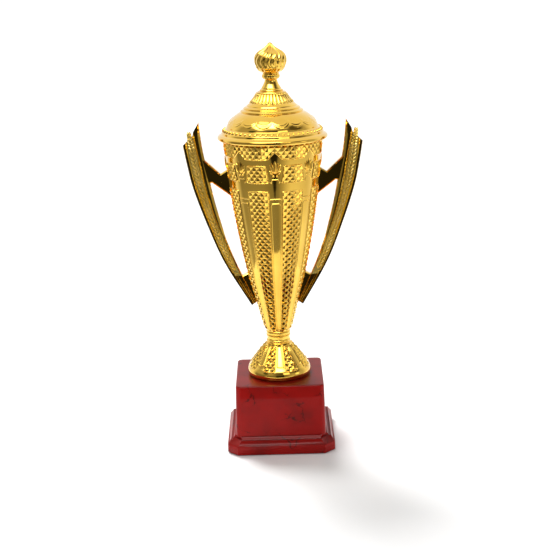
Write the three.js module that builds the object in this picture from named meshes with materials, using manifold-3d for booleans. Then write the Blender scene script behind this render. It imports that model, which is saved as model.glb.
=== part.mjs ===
// Lidded cup trophy: a gold-plated plastic cup with two lyre handles and a loose lid, on a two-tier plinth.
// Millimetres, +Z up. The origin is the middle of the standing face, and the handles lie along X.

import * as THREE from "three";
import { mergeVertices } from "three/addons/utils/BufferGeometryUtils.js";
import Module from "manifold-3d";

const wasm = await Module();
wasm.setup();

// ---- Driving dimensions ----------------------------------------------------------------------------------

// Plinth
const PAD_HEIGHT = 2.0; // foam pad under the bottom plate
const PLINTH_BOTTOM_Z = 0.6; // the pads stand this far proud of the tier's wall
const TIER_HALF = 53.5; // half of the 107 mm square footprint
const TIER_CORNER_CUT = 10; // 45 degree cut at each corner
const TIER_TOP_Z = 17.4;
const TIER_WALL = 3;
const BLOCK_TOP_Z = 68.8;
const BLOCK_HALF_TOP = 42.7;
const BLOCK_HALF_BOTTOM = 44.9;
const BLOCK_WALL = 3;
const BLOCK_CORNER = 5; // radius of the block's upright edges
const PLATE_THICKNESS = 2;
const PLATE_GAP = 0.4; // play between bottom plate and tier
const BOSS_OFFSET = 40; // screw bosses at plus and minus this in X and Y
const BOSS_RADIUS = 4.5;
const PAD_OFFSET = 30;
const PAD_RADIUS = 6;
const BALLAST_HALF = 30;
const BALLAST_THICKNESS = 15;

// Tie rod, M6
const ROD_RADIUS = 3;
const ROD_CLEARANCE = 0.3;
const ROD_HOLE = ROD_RADIUS + ROD_CLEARANCE;
const ROD_NUT_FLATS = 10;
const ROD_NUT_HEIGHT = 5;
const ROD_WASHER_RADIUS = 6.4;
const ROD_WASHER_THICKNESS = 1.5;
const ROD_OVERHANG = 2.5; // thread left showing past each nut

// Foot, collar and cup
const FOOT_TOP_Z = 101.5;
const COLLAR_TOP_Z = 110.5;
const CUP_FLOOR = 3;
const CUP_RIM_Z = 309;
const CUP_WALL = 2;

// Handles
const HANDLE_THICKNESS = 10;
const HANDLE_GAP = 0.3; // play between a handle and the cup's wall
const STUD_RADIUS = 2;
const STUD_CLEARANCE = 0.3;
const STUD_DEPTH = 9; // how far a stud reaches into its handle
const STUD_INSIDE = 7; // how far it stands into the cup
const NUT_RADIUS = 4.2;
const NUT_HEIGHT = 3.4;
const NUT_STANDOFF = 0.7; // the nut bridges the curve of the wall
const UPPER_STUD_Z = 266;
const LOWER_STUD_Z = 157;

// Lid and finial
const LID_RADIUS = 53.7;
const LID_WALL = 2;
const LID_LIP_Z = 308.3;
const LID_CROWN_Z = 351;
const RING_OUTER = 45.6;
const RING_INNER = 43.2;
const RING_HEIGHT = 8;
const RING_GAP = 0.3; // play between locating ring and lid
const STEM_TOP_Z = 371;
const FINIAL_TOP_Z = 400;
const FINIAL_SCREW_RADIUS = 2;
const FINIAL_SCREW_END_Z = 382;
const FINIAL_SCREW_HEAD = 3.6;
const FINIAL_WASHER_RADIUS = 6;
const FINIAL_WASHER_THICKNESS = 1;

// Facets round a turned piece
const SIDES_CUP = 40;
const SIDES_FOOT = 32;
const SIDES_STEM = 20;
const SIDES_ROUND = 16;
const SIDES_FASTENER = 12;
const HOLE_STEPS = 6; // half the sides of a hole cut in a flat plate

// ---- Finishes --------------------------------------------------------------------------------------------

const GOLD = { color: 0xd9a52e, roughness: 0.12, metalness: 1 };
const CHERRY = { color: 0x8f1a14, roughness: 0.18, metalness: 0 };
const ZINC = { color: 0xb9bcc0, roughness: 0.35, metalness: 1 };
const IRON = { color: 0x3d3c3b, roughness: 0.8, metalness: 0.6 };
const BOARD = { color: 0x2a2624, roughness: 0.7, metalness: 0 };
const FOAM = { color: 0x1d1d1f, roughness: 0.95, metalness: 0 };

const trophy = new THREE.Group();
trophy.name = "cup_trophy";

// Adds one named piece with its own material.
function addPiece(name, geometry, finish, parent = trophy) {
  const mesh = new THREE.Mesh(geometry, new THREE.MeshStandardMaterial(finish));
  mesh.name = name;
  parent.add(mesh);
  return mesh;
}

// ---- Shape helpers ---------------------------------------------------------------------------------------

// Turns [radius, z] pairs about Z. The pairs run counter-clockwise in the radius-z plane.
function turned(pairs, sides) {
  const points = pairs.map(([radius, z]) => new THREE.Vector2(radius, z));
  const geometry = new THREE.LatheGeometry(points, sides);
  return geometry.rotateX(Math.PI / 2);
}

// A closed ring or tube section turned about Z.
function turnedRing(pairs, sides) {
  return turned([...pairs, pairs[0]], sides);
}

// Corner points of a square with cut or rounded corners, counter-clockwise, `steps` segments to a corner.
function squareOutline(half, corner, steps) {
  const outline = [];
  for (let quarter = 0; quarter < 4; quarter += 1) {
    for (let step = 0; step <= steps; step += 1) {
      const angle = ((quarter + step / steps) * Math.PI) / 2;
      const turn = (quarter * Math.PI) / 2 + Math.PI / 4;
      const centre = (half - corner) * Math.SQRT2;
      const x = centre * Math.cos(turn) + corner * Math.cos(angle);
      const y = centre * Math.sin(turn) + corner * Math.sin(angle);
      outline.push([x, y]);
    }
  }
  return outline;
}

// A closed [half width, z, corner] section carried round a square instead of a circle.
function squareRing(section, steps) {
  const closed = [...section, section[0]];
  const sides = 4 * (steps + 1);
  const points = closed.map(([half, z]) => new THREE.Vector2(half, z));
  const geometry = new THREE.LatheGeometry(points, sides);
  const position = geometry.getAttribute("position");
  closed.forEach(([half, z, corner], row) => {
    const outline = squareOutline(half, corner, steps);
    for (let side = 0; side <= sides; side += 1) {
      const [x, y] = outline[side % sides];
      position.setXYZ(side * closed.length + row, x, y, z);
    }
  });
  return geometry;
}

// A cylinder along Z between two heights.
function rod(radius, bottom, top, sides) {
  const geometry = new THREE.CylinderGeometry(radius, radius, top - bottom, sides);
  return geometry.rotateX(Math.PI / 2).translate(0, 0, (bottom + top) / 2);
}

// A flat ring along Z between two heights.
function flatRing(inner, outer, bottom, top, sides) {
  return turnedRing([[inner, bottom], [outer, bottom], [outer, top], [inner, top]], sides);
}

// A hexagonal nut on Z.
function hexNut(flats, hole, bottom, top) {
  const shape = new THREE.Shape();
  const corner = flats / Math.sqrt(3);
  for (let side = 0; side < 6; side += 1) {
    const angle = (side * Math.PI) / 3;
    const x = corner * Math.cos(angle);
    const y = corner * Math.sin(angle);
    if (side === 0) {
      shape.moveTo(x, y);
    } else {
      shape.lineTo(x, y);
    }
  }
  shape.holes.push(new THREE.Path().absarc(0, 0, hole, 0, 2 * Math.PI, true));
  const geometry = new THREE.ExtrudeGeometry(shape, {
    depth: top - bottom,
    bevelEnabled: false,
    curveSegments: HOLE_STEPS,
  });
  return geometry.translate(0, 0, bottom);
}

// A three.js geometry as a manifold-3d solid.
function toSolid(geometry) {
  const bare = geometry.clone();
  bare.deleteAttribute("normal");
  bare.deleteAttribute("uv");
  const merged = mergeVertices(bare, 1e-4);
  return new wasm.Manifold(
    new wasm.Mesh({
      numProp: 3,
      vertProperties: merged.getAttribute("position").array,
      triVerts: new Uint32Array(merged.index.array),
    }),
  );
}

// A manifold-3d solid as a three.js geometry.
function toGeometry(solid) {
  const mesh = solid.getMesh();
  const geometry = new THREE.BufferGeometry();
  geometry.setAttribute("position", new THREE.BufferAttribute(mesh.vertProperties, 3));
  geometry.setIndex(new THREE.BufferAttribute(mesh.triVerts, 1));
  geometry.computeVertexNormals();
  return geometry;
}

// `base` with every cutter taken out of it.
function cut(base, cutters) {
  const solid = cutters.reduce((left, cutter) => left.subtract(toSolid(cutter)), toSolid(base));
  return toGeometry(solid);
}

// ---- Plinth ----------------------------------------------------------------------------------------------

// The hollow lower tier: upright wall, sloped shoulder, step line, cove and the seat of the block.
function makeFootTier() {
  const inner = TIER_HALF - TIER_WALL;
  const corner = TIER_CORNER_CUT;
  const shell = toSolid(
    squareRing(
      [
        [inner, PLINTH_BOTTOM_Z, corner],
        [TIER_HALF, PLINTH_BOTTOM_Z, corner],
        [TIER_HALF, 9.8, corner],
        [50.2, 12.8, corner - 1],
        [49.2, 12.8, corner - 1.4],
        [47.2, 16.4, corner - 2.4],
        [46.4, TIER_TOP_Z, corner - 3],
        [38, TIER_TOP_Z, corner - 4],
        [38, TIER_TOP_Z - TIER_WALL, corner - 4],
        [44.6, TIER_TOP_Z - TIER_WALL, corner - 3],
        [47, 10.5, corner - 2],
        [inner, 8.6, corner],
      ],
      1,
    ),
  );
  const bossBottom = PAD_HEIGHT + PLATE_THICKNESS;
  const pilotTop = bossBottom + 9;
  let tier = shell;
  for (const [x, y] of cornerPlaces(BOSS_OFFSET)) {
    const boss = rod(BOSS_RADIUS, bossBottom, TIER_TOP_Z - 1, SIDES_FASTENER).translate(x, y, 0);
    const pilot = rod(1.8, bossBottom - 1, pilotTop, SIDES_FASTENER).translate(x, y, 0);
    tier = tier.add(toSolid(boss)).subtract(toSolid(pilot));
  }
  return toGeometry(tier);
}

// The four places at plus and minus `offset` in X and Y.
function cornerPlaces(offset) {
  return [
    [offset, offset],
    [-offset, offset],
    [-offset, -offset],
    [offset, -offset],
  ];
}

// The hollow upper block, open below, with the rod hole in its top.
function makeBlock() {
  const edge = 1.2;
  const underTop = BLOCK_TOP_Z - BLOCK_WALL;
  return squareRing(
    [
      [BLOCK_HALF_BOTTOM - BLOCK_WALL, TIER_TOP_Z, BLOCK_CORNER - 2],
      [BLOCK_HALF_BOTTOM, TIER_TOP_Z, BLOCK_CORNER],
      [BLOCK_HALF_TOP, BLOCK_TOP_Z - edge, BLOCK_CORNER],
      [BLOCK_HALF_TOP - edge, BLOCK_TOP_Z, BLOCK_CORNER - edge / 2],
      [ROD_HOLE, BLOCK_TOP_Z, ROD_HOLE],
      [ROD_HOLE, underTop, ROD_HOLE],
      [BLOCK_HALF_TOP - BLOCK_WALL, underTop, BLOCK_CORNER - 2],
    ],
    4,
  );
}

// The plate that closes the plinth, with a hole for each screw.
function makeBottomPlate() {
  const half = TIER_HALF - TIER_WALL - PLATE_GAP;
  const outline = squareOutline(half, TIER_CORNER_CUT, 1).map(([x, y]) => new THREE.Vector2(x, y));
  const shape = new THREE.Shape(outline);
  for (const [x, y] of cornerPlaces(BOSS_OFFSET)) {
    shape.holes.push(new THREE.Path().absarc(x, y, 1.8, 0, 2 * Math.PI, true));
  }
  const geometry = new THREE.ExtrudeGeometry(shape, {
    depth: PLATE_THICKNESS,
    bevelEnabled: false,
    curveSegments: HOLE_STEPS,
  });
  return geometry.translate(0, 0, PAD_HEIGHT);
}

// A pan-head screw pointing up, its head under the bottom plate.
function makeBottomScrew() {
  const headTop = PAD_HEIGHT;
  const headBottom = headTop - 1.2;
  const shaftTop = headTop + PLATE_THICKNESS + 8;
  return turned(
    [[0, headBottom], [2.2, headBottom], [3, headTop - 0.5], [3, headTop], [1.5, headTop], [1.5, shaftTop], [0, shaftTop]],
    SIDES_FASTENER,
  );
}

function addPlinth() {
  addPiece("plinth_foot_tier", makeFootTier(), CHERRY);
  addPiece("plinth_block", makeBlock(), CHERRY);
  addPiece("bottom_plate", makeBottomPlate(), BOARD);
  cornerPlaces(BOSS_OFFSET).forEach(([x, y], place) => {
    addPiece(`bottom_screw_${place + 1}`, makeBottomScrew(), ZINC).position.set(x, y, 0);
  });
  cornerPlaces(PAD_OFFSET).forEach(([x, y], place) => {
    const pad = rod(PAD_RADIUS, 0, PAD_HEIGHT, SIDES_ROUND);
    addPiece(`foot_pad_${place + 1}`, pad, FOAM).position.set(x, y, 0);
  });
}

// ---- Ballast and tie rod ---------------------------------------------------------------------------------

const BALLAST_TOP_Z = BLOCK_TOP_Z - BLOCK_WALL;
const BALLAST_BOTTOM_Z = BALLAST_TOP_Z - BALLAST_THICKNESS;
const CUP_FLOOR_Z = COLLAR_TOP_Z + CUP_FLOOR;

function addTieRod() {
  const lowWasher = BALLAST_BOTTOM_Z - ROD_WASHER_THICKNESS;
  const lowNut = lowWasher - ROD_NUT_HEIGHT;
  const highWasher = CUP_FLOOR_Z + ROD_WASHER_THICKNESS;
  const highNut = highWasher + ROD_NUT_HEIGHT;
  const ballast = squareRing(
    [
      [ROD_HOLE, BALLAST_BOTTOM_Z, ROD_HOLE],
      [BALLAST_HALF, BALLAST_BOTTOM_Z, 4],
      [BALLAST_HALF, BALLAST_TOP_Z, 4],
      [ROD_HOLE, BALLAST_TOP_Z, ROD_HOLE],
    ],
    3,
  );
  addPiece("ballast_plate", ballast, IRON);
  addPiece("tie_rod", rod(ROD_RADIUS, lowNut - ROD_OVERHANG, highNut + ROD_OVERHANG, SIDES_FASTENER), ZINC);
  const washer = (bottom) =>
    flatRing(ROD_HOLE, ROD_WASHER_RADIUS, bottom, bottom + ROD_WASHER_THICKNESS, SIDES_ROUND);
  addPiece("rod_washer_bottom", washer(lowWasher), ZINC);
  addPiece("rod_washer_top", washer(CUP_FLOOR_Z), ZINC);
  addPiece("rod_nut_bottom", hexNut(ROD_NUT_FLATS, ROD_HOLE, lowNut, lowWasher), ZINC);
  addPiece("rod_nut_top", hexNut(ROD_NUT_FLATS, ROD_HOLE, highWasher, highNut), ZINC);
}

// ---- Foot and collar -------------------------------------------------------------------------------------

// The trumpet foot, hollow below, with a solid web for the rod at its top.
function makeFoot() {
  return turnedRing(
    [
      [27.6, BLOCK_TOP_Z],
      [30.2, BLOCK_TOP_Z],
      [31.5, 70.4],
      [32, 73],
      [31.6, 76.2],
      [28.6, 80.6],
      [25.4, 85],
      [22.3, 89.2],
      [18.2, 94.6],
      [14.2, 98.8],
      [12.7, FOOT_TOP_Z],
      [ROD_HOLE, FOOT_TOP_Z],
      [ROD_HOLE, FOOT_TOP_Z - 4],
      [12, FOOT_TOP_Z - 4],
      [16.4, 92.6],
      [23.2, 84],
      [29.4, 75.4],
      [29.8, 72.6],
    ],
    SIDES_FOOT,
  );
}

// The ringed collar under the cup.
function makeCollar() {
  return turnedRing(
    [
      [ROD_HOLE, FOOT_TOP_Z],
      [12.1, FOOT_TOP_Z],
      [12.1, 103.6],
      [11.4, 104.2],
      [11.4, 107.2],
      [12.3, 108],
      [12.3, 109.6],
      [11.6, COLLAR_TOP_Z],
      [ROD_HOLE, COLLAR_TOP_Z],
    ],
    SIDES_STEM,
  );
}

// ---- Cup -------------------------------------------------------------------------------------------------

// Outside of the cup, from its floor up to the rim, as [radius, z].
const CUP_OUTSIDE = [
  [11.6, COLLAR_TOP_Z],
  [11.8, 113.5],
  [13.6, 119],
  [16.2, 127],
  [18.4, 135],
  [20.6, 144],
  [28.9, 176],
  [33.6, 198],
  [38, 222],
  [43, 254],
  [46.2, 282],
  [47.9, 300],
  [48, CUP_RIM_Z],
];

// The same profile moved outwards by `offset` (inwards where it is negative).
function cupProfile(offset) {
  return CUP_OUTSIDE.map(([radius, z]) => [radius + offset, z]);
}

function makeCup() {
  const inside = cupProfile(-CUP_WALL).filter(([, z]) => z > CUP_FLOOR_Z);
  const floorRadius = inside[0][0] - 1.2;
  const shell = turnedRing(
    [
      [ROD_HOLE, COLLAR_TOP_Z],
      ...CUP_OUTSIDE,
      ...inside.reverse(),
      [floorRadius, CUP_FLOOR_Z],
      [ROD_HOLE, CUP_FLOOR_Z],
    ],
    SIDES_CUP,
  );
  return cut(shell, studPlaces().map((place) => studRod(place, STUD_RADIUS + STUD_CLEARANCE, 0)));
}

// Radius of the cup's outside at a height.
function cupRadius(z) {
  const above = CUP_OUTSIDE.findIndex(([, height]) => height > z);
  const [lowRadius, lowZ] = CUP_OUTSIDE[above - 1];
  const [highRadius, highZ] = CUP_OUTSIDE[above];
  return THREE.MathUtils.mapLinear(z, lowZ, highZ, lowRadius, highRadius);
}

// ---- Handles ---------------------------------------------------------------------------------------------

// Where each stud crosses the cup's wall: its name, side, point and tilt square to the wall.
function studPlaces() {
  const places = [];
  for (const [side, sign] of [["left", -1], ["right", 1]]) {
    for (const [level, z] of [["upper", UPPER_STUD_Z], ["lower", LOWER_STUD_Z]]) {
      const rise = cupRadius(z + 2) - cupRadius(z - 2);
      places.push({ name: `${side}_${level}`, sign, radius: cupRadius(z), z, tilt: Math.atan2(rise, 4) });
    }
  }
  return places;
}

// Puts a piece made along Z, base at the wall and pointing out of the cup, in its place.
function atStud(geometry, { sign, radius, z, tilt }) {
  geometry.rotateY(Math.PI / 2 + tilt);
  geometry.translate(radius, 0, z);
  return sign < 0 ? geometry.rotateZ(Math.PI) : geometry;
}

// A stud, or the clearance hole for it when the radius is larger; `extra` lengthens it outwards.
function studRod(place, radius, extra) {
  const inside = -CUP_WALL - NUT_STANDOFF - STUD_INSIDE;
  return atStud(rod(radius, inside, STUD_DEPTH + extra, SIDES_FASTENER), place);
}

// Outline of the right handle in the XZ plane, clockwise from the tip of the inner rail.
function handleShape() {
  const outerEdge = new THREE.SplineCurve([
    new THREE.Vector2(87.5, 303.6),
    new THREE.Vector2(84.4, 285.5),
    new THREE.Vector2(79.2, 261),
    new THREE.Vector2(67.8, 226.4),
    new THREE.Vector2(51.6, 186),
    new THREE.Vector2(25.9, 141.5),
  ]);
  const innerEdge = new THREE.SplineCurve([
    new THREE.Vector2(34, 172.3),
    new THREE.Vector2(40, 186),
    new THREE.Vector2(47.4, 206),
    new THREE.Vector2(53, 226.4),
    new THREE.Vector2(58.2, 246.5),
    new THREE.Vector2(61.6, 263.6),
  ]);
  const tip = [
    [66.3, 288.2],
    [68.1, 298],
    [71.3, 326.4],
    [76.7, 317.8],
    [76.3, 313.8],
    [78.6, 311.2],
    [79.4, 313],
    [80.5, 313.8],
    [81.7, 312.8],
    [83.1, 307],
    [85, 306],
  ];
  const foot = [
    [15, 147.7],
    [15, 175],
    [28, 174.8],
  ];
  const strut = [
    [58.5, 266.2],
    [38, 250.4],
    [38, 283],
    [51.8, 275],
  ];
  const asPoints = (pairs) => pairs.map(([x, z]) => new THREE.Vector2(x, z));
  return new THREE.Shape([
    ...asPoints(tip),
    ...outerEdge.getPoints(16),
    ...asPoints(foot),
    ...innerEdge.getPoints(14),
    ...asPoints(strut),
  ]);
}

// The right handle, trimmed to the cup and drilled for its studs.
function makeHandle() {
  const blade = new THREE.ExtrudeGeometry(handleShape(), { depth: HANDLE_THICKNESS, bevelEnabled: false });
  blade.rotateX(Math.PI / 2).translate(0, HANDLE_THICKNESS / 2, 0);
  const outside = cupProfile(HANDLE_GAP);
  const cup = turned([[0, COLLAR_TOP_Z], ...outside, [0, CUP_RIM_Z]], SIDES_CUP);
  const holes = studPlaces()
    .filter(({ sign }) => sign > 0)
    .map((place) => studRod(place, STUD_RADIUS + STUD_CLEARANCE, STUD_CLEARANCE));
  return cut(blade, [cup, ...holes]);
}

// A nut with a round flange that faces the cup's inner wall.
function flangeNut(place) {
  const face = -CUP_WALL - NUT_STANDOFF;
  const hole = STUD_RADIUS + STUD_CLEARANCE;
  const back = face - NUT_HEIGHT;
  const geometry = turnedRing(
    [[hole, back], [NUT_RADIUS - 0.8, back], [NUT_RADIUS - 0.8, face - 1], [NUT_RADIUS, face - 1], [NUT_RADIUS, face], [hole, face]],
    SIDES_FASTENER,
  );
  return atStud(geometry, place);
}

function addHandles() {
  const handle = makeHandle();
  addPiece("right_handle", handle, GOLD);
  addPiece("left_handle", handle.clone().rotateZ(Math.PI), GOLD);
  for (const place of studPlaces()) {
    addPiece(`handle_stud_${place.name}`, studRod(place, STUD_RADIUS, 0), ZINC);
    addPiece(`handle_nut_${place.name}`, flangeNut(place), ZINC);
  }
}

// ---- Lid and finial --------------------------------------------------------------------------------------

// The domed lid: lip, sloped flange, bead ring, dome, steps and crown, hollow below.
function makeLid() {
  const hole = FINIAL_SCREW_RADIUS + ROD_CLEARANCE;
  const underCrown = LID_CROWN_Z - LID_WALL;
  return turnedRing(
    [
      [51.4, LID_LIP_Z],
      [LID_RADIUS, LID_LIP_Z],
      [LID_RADIUS, 311.8],
      [52.4, 313.2],
      [49.6, 314.4],
      [49.4, 316.6],
      [47.6, 317.8],
      [45, 319.4],
      [41.6, 324],
      [36.8, 330],
      [30.4, 335],
      [27.6, 337.4],
      [24.2, 340.6],
      [20.6, 343.6],
      [16.6, 348.4],
      [14.6, LID_CROWN_Z],
      [hole, LID_CROWN_Z],
      [hole, underCrown],
      [12.6, underCrown],
      [15, 346.4],
      [21.6, 339.6],
      [28.6, 333.8],
      [35, 328.6],
      [39.6, 323],
      [43, 318],
      [43, CUP_RIM_Z + RING_GAP],
      [51.4, CUP_RIM_Z],
    ],
    SIDES_CUP,
  );
}

// The waisted stem with the ring that carries the bud.
function makeFinialStem() {
  const hole = FINIAL_SCREW_RADIUS + ROD_CLEARANCE;
  return turnedRing(
    [
      [hole, LID_CROWN_Z],
      [12, LID_CROWN_Z],
      [12.2, 353],
      [11.4, 355.2],
      [8.6, 359],
      [6.3, 363.6],
      [6.4, 365.4],
      [8, 366.8],
      [8.6, 368.8],
      [8, 370.4],
      [7, STEM_TOP_Z],
      [hole, STEM_TOP_Z],
    ],
    SIDES_STEM,
  );
}

// The bud, with a blind bore for the screw.
function makeFinialBud() {
  const hole = FINIAL_SCREW_RADIUS + ROD_CLEARANCE;
  const boreEnd = FINIAL_SCREW_END_Z + 1;
  return turned(
    [
      [0, boreEnd],
      [hole, boreEnd],
      [hole, STEM_TOP_Z],
      [8, STEM_TOP_Z],
      [11, 373],
      [13.9, 377],
      [15.4, 380.4],
      [15.8, 382.8],
      [15.2, 385.6],
      [13.4, 388.8],
      [10.4, 392],
      [5.4, 396],
      [2.4, 398.4],
      [0, FINIAL_TOP_Z],
    ],
    SIDES_STEM,
  );
}

// The screw that comes up from inside the crown.
function makeFinialScrew() {
  const headTop = LID_CROWN_Z - LID_WALL - FINIAL_WASHER_THICKNESS;
  const headBottom = headTop - 2.6;
  const shaft = FINIAL_SCREW_RADIUS;
  return turned(
    [
      [0, headBottom],
      [2.4, headBottom],
      [FINIAL_SCREW_HEAD, headTop - 1.4],
      [FINIAL_SCREW_HEAD, headTop],
      [shaft, headTop],
      [shaft, FINIAL_SCREW_END_Z],
      [0, FINIAL_SCREW_END_Z],
    ],
    SIDES_FASTENER,
  );
}

function addLid() {
  const underCrown = LID_CROWN_Z - LID_WALL;
  const washerBottom = underCrown - FINIAL_WASHER_THICKNESS;
  const hole = FINIAL_SCREW_RADIUS + ROD_CLEARANCE;
  const washer = flatRing(hole, FINIAL_WASHER_RADIUS, washerBottom, underCrown, SIDES_ROUND);
  const ring = flatRing(RING_INNER, RING_OUTER, CUP_RIM_Z - RING_HEIGHT, CUP_RIM_Z, SIDES_CUP);
  addPiece("lid_locating_ring", ring, BOARD);
  addPiece("lid_shell", makeLid(), GOLD);
  addPiece("finial_stem", makeFinialStem(), GOLD);
  addPiece("finial_bud", makeFinialBud(), GOLD);
  addPiece("finial_washer", washer, ZINC);
  addPiece("finial_screw", makeFinialScrew(), ZINC);
}

addPlinth();
addTieRod();
addPiece("pedestal_foot", makeFoot(), GOLD);
addPiece("stem_collar", makeCollar(), GOLD);
addPiece("cup_shell", makeCup(), GOLD);
addHandles();
addLid();

export default trophy;
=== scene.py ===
"""A tall lidded trophy cup, put together in the order it is built on the bench.

Lengths are millimetres up to the moment a mesh is made. Heights inside a section are measured
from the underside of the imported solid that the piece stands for.
"""

import math

import bmesh
import bpy
import numpy as np
from mathutils import Matrix, Vector
from mathutils.geometry import delaunay_2d_cdt


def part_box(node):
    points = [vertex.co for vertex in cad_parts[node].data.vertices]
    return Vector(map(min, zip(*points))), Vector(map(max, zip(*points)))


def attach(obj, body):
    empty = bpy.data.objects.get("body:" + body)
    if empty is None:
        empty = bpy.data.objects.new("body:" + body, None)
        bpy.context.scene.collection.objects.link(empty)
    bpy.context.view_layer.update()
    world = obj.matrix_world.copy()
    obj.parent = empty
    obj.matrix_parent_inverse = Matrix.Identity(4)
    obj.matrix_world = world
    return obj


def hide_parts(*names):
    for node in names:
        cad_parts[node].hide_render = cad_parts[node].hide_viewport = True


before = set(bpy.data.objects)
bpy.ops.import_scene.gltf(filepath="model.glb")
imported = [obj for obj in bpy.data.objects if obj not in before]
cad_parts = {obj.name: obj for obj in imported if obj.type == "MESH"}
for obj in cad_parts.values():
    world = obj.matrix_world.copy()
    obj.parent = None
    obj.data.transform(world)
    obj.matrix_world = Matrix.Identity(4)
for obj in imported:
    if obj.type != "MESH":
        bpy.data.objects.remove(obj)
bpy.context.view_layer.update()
MM = 0.001


# ------------------------------------------------------------------ Where it stands
# A pale board on a studio bench, a large soft light above and behind, and a dim room in front.
# Mirror gold shows little but its surroundings, so the room is painted for mirror rays only.


def colour(hex_code):
    """An sRGB hex colour as linear red, green and blue, with alpha 1."""
    parts = [int(hex_code[i : i + 2], 16) / 255 for i in (1, 3, 5)]
    return [v / 12.92 if v <= 0.04045 else ((v + 0.055) / 1.055) ** 2.4 for v in parts] + [1.0]


def node(tree, kind, settings):
    """Adds a shader node. A setting is a socket's value, a link to it, ramp stops, or an attribute."""
    made = tree.nodes.new("ShaderNode" + kind)
    for key, value in settings.items():
        if key == "stops":
            ramp = made.color_ramp
            while len(ramp.elements) < len(value):
                ramp.elements.new(0.5)
            for element, (place, shade) in zip(ramp.elements, value):
                element.position = place
                element.color = shade
        elif isinstance(key, str) and key not in made.inputs:
            setattr(made, key, value)
        elif isinstance(value, bpy.types.NodeSocket):
            tree.links.new(value, made.inputs[key])
        else:
            made.inputs[key].default_value = value
    return made


def grey(level, warmth=0.0):
    """A light level as a colour, warmer when warmth is above 0."""
    return [level * (1 + 0.10 * warmth), level, level * (1 - 0.35 * warmth), 1.0]


EYE = Vector((0.0039, -1.1914, 0.4830))
EYE_DOWN = 14.92
EYE_ASIDE = 0.035
EYE_ROLL = -1.66

camera = bpy.data.objects.new("camera", bpy.data.cameras.new("camera"))
camera.data.lens = 79.23
camera.data.clip_start = 0.05
turn_aside = Matrix.Rotation(math.radians(EYE_ASIDE), 4, "Z")
turn_down = Matrix.Rotation(math.radians(90 - EYE_DOWN), 4, "X")
turn_over = Matrix.Rotation(math.radians(EYE_ROLL), 4, "Z")
camera.matrix_world = Matrix.Translation(EYE) @ turn_aside @ turn_down @ turn_over
bpy.context.scene.collection.objects.link(camera)
bpy.context.scene.camera = camera
bpy.context.scene.view_settings.view_transform = "Standard"

paper = bpy.data.materials.new("matt_white_paper")
paper.use_nodes = True
paper_shader = paper.node_tree.nodes["Principled BSDF"]
paper_shader.inputs["Base Color"].default_value = colour("#f4f4f4")
paper_shader.inputs["Roughness"].default_value = 0.9
paper_shader.inputs["Specular IOR Level"].default_value = 0.1

BOARD_FRONT = -0.315
BOARD_SIDE = 0.34
for name, left, right, front, back, drop in [
    ("bench_board", -BOARD_SIDE, BOARD_SIDE, BOARD_FRONT, 1.5, 0),
    ("studio_floor", -9, 9, -9, 12, 0.00005),
]:
    sheet_mesh = bpy.data.meshes.new(name)
    corners = [(left, front, -drop), (right, front, -drop), (right, back, -drop), (left, back, -drop)]
    sheet_mesh.from_pydata(corners, [], [(0, 1, 2, 3)])
    sheet_mesh.materials.append(paper)
    floor = bpy.data.objects.new(name, sheet_mesh)
    bpy.context.scene.collection.objects.link(floor)
    floor.visible_glossy = drop == 0

# A wide, far-off window behind and to the left throws one soft shadow to the lower right, and a
# soft box overhead and a weak one in front open up the near side.
window = bpy.data.lights.new("far_window", "SUN")
window.angle = math.radians(31)
window.energy = 4.35
window_light = bpy.data.objects.new("far_window", window)
window_light.rotation_euler = Vector((-0.42, 0.90, 1.05)).to_track_quat("Z", "Y").to_euler()
window_light.visible_glossy = False
bpy.context.scene.collection.objects.link(window_light)
for name, place, aim, size, watts, warmth in [
    ("overhead_soft_box", (-0.25, -0.45, 1.75), (0, 0, 0.25), (0.9, 0.6), 3.0, 0.05),
    ("front_fill", (0.75, -1.5, 0.9), (0, 0, 0.15), (0.7, 0.7), 2.5, 0.2),
]:
    lamp = bpy.data.lights.new(name, "AREA")
    lamp.shape = "RECTANGLE"
    lamp.size, lamp.size_y = size
    lamp.energy = watts
    lamp.color = grey(1.0, warmth)[:3]
    light = bpy.data.objects.new(name, lamp)
    light.location = place
    light.rotation_euler = (Vector(aim) - Vector(place)).to_track_quat("-Z", "Y").to_euler()
    light.visible_camera = False
    bpy.context.scene.collection.objects.link(light)

world = bpy.data.worlds.new("studio")
world.use_nodes = True
bpy.context.scene.world = world
room = world.node_tree
room.nodes.clear()
way = node(room, "TexCoord", {}).outputs["Generated"]
look = node(room, "SeparateXYZ", {"Vector": way})
across, along, up = look.outputs
from_left = node(room, "MapRange", {"Value": across, "From Min": -1.0})
low_room = node(
    room,
    "ValToRGB",
    {
        "Fac": from_left.outputs[0],
        "stops": [
            (0.0, grey(0.40, 0.2)),
            (0.30, grey(0.38, 0.2)),
            (0.45, grey(0.30, 0.1)),
            (0.58, grey(0.28, 0.2)),
            (0.70, grey(0.62, 0.3)),
            (0.82, grey(1.10, 0.1)),
            (1.0, grey(1.2, 0.0)),
        ],
    },
)
high_room = node(
    room,
    "ValToRGB",
    {
        "Fac": from_left.outputs[0],
        "stops": [
            (0.0, grey(0.95, 0.1)),
            (0.27, grey(0.85, 0.1)),
            (0.42, grey(0.26, 0.2)),
            (0.58, grey(0.15, 0.4)),
            (0.72, grey(0.32, 0.4)),
            (0.86, grey(0.85, 0.2)),
            (1.0, grey(1.1, 0.0)),
        ],
    },
)
rise = node(room, "MapRange", {"Value": up, "From Min": 0.0, "From Max": 0.25})
walls = node(
    room, "Mix", {"data_type": "RGBA", 0: rise.outputs[0], 6: low_room.outputs[0], 7: high_room.outputs[0]}
)
dim_part = node(
    room, "MapRange", {"Value": up, "From Min": -0.46, "From Max": -0.24, "To Max": 0.55}
)
walls = node(
    room, "Mix", {"data_type": "RGBA", 0: dim_part.outputs[0], 6: walls.outputs[2], 7: grey(0.05, 0.6)}
)
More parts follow.
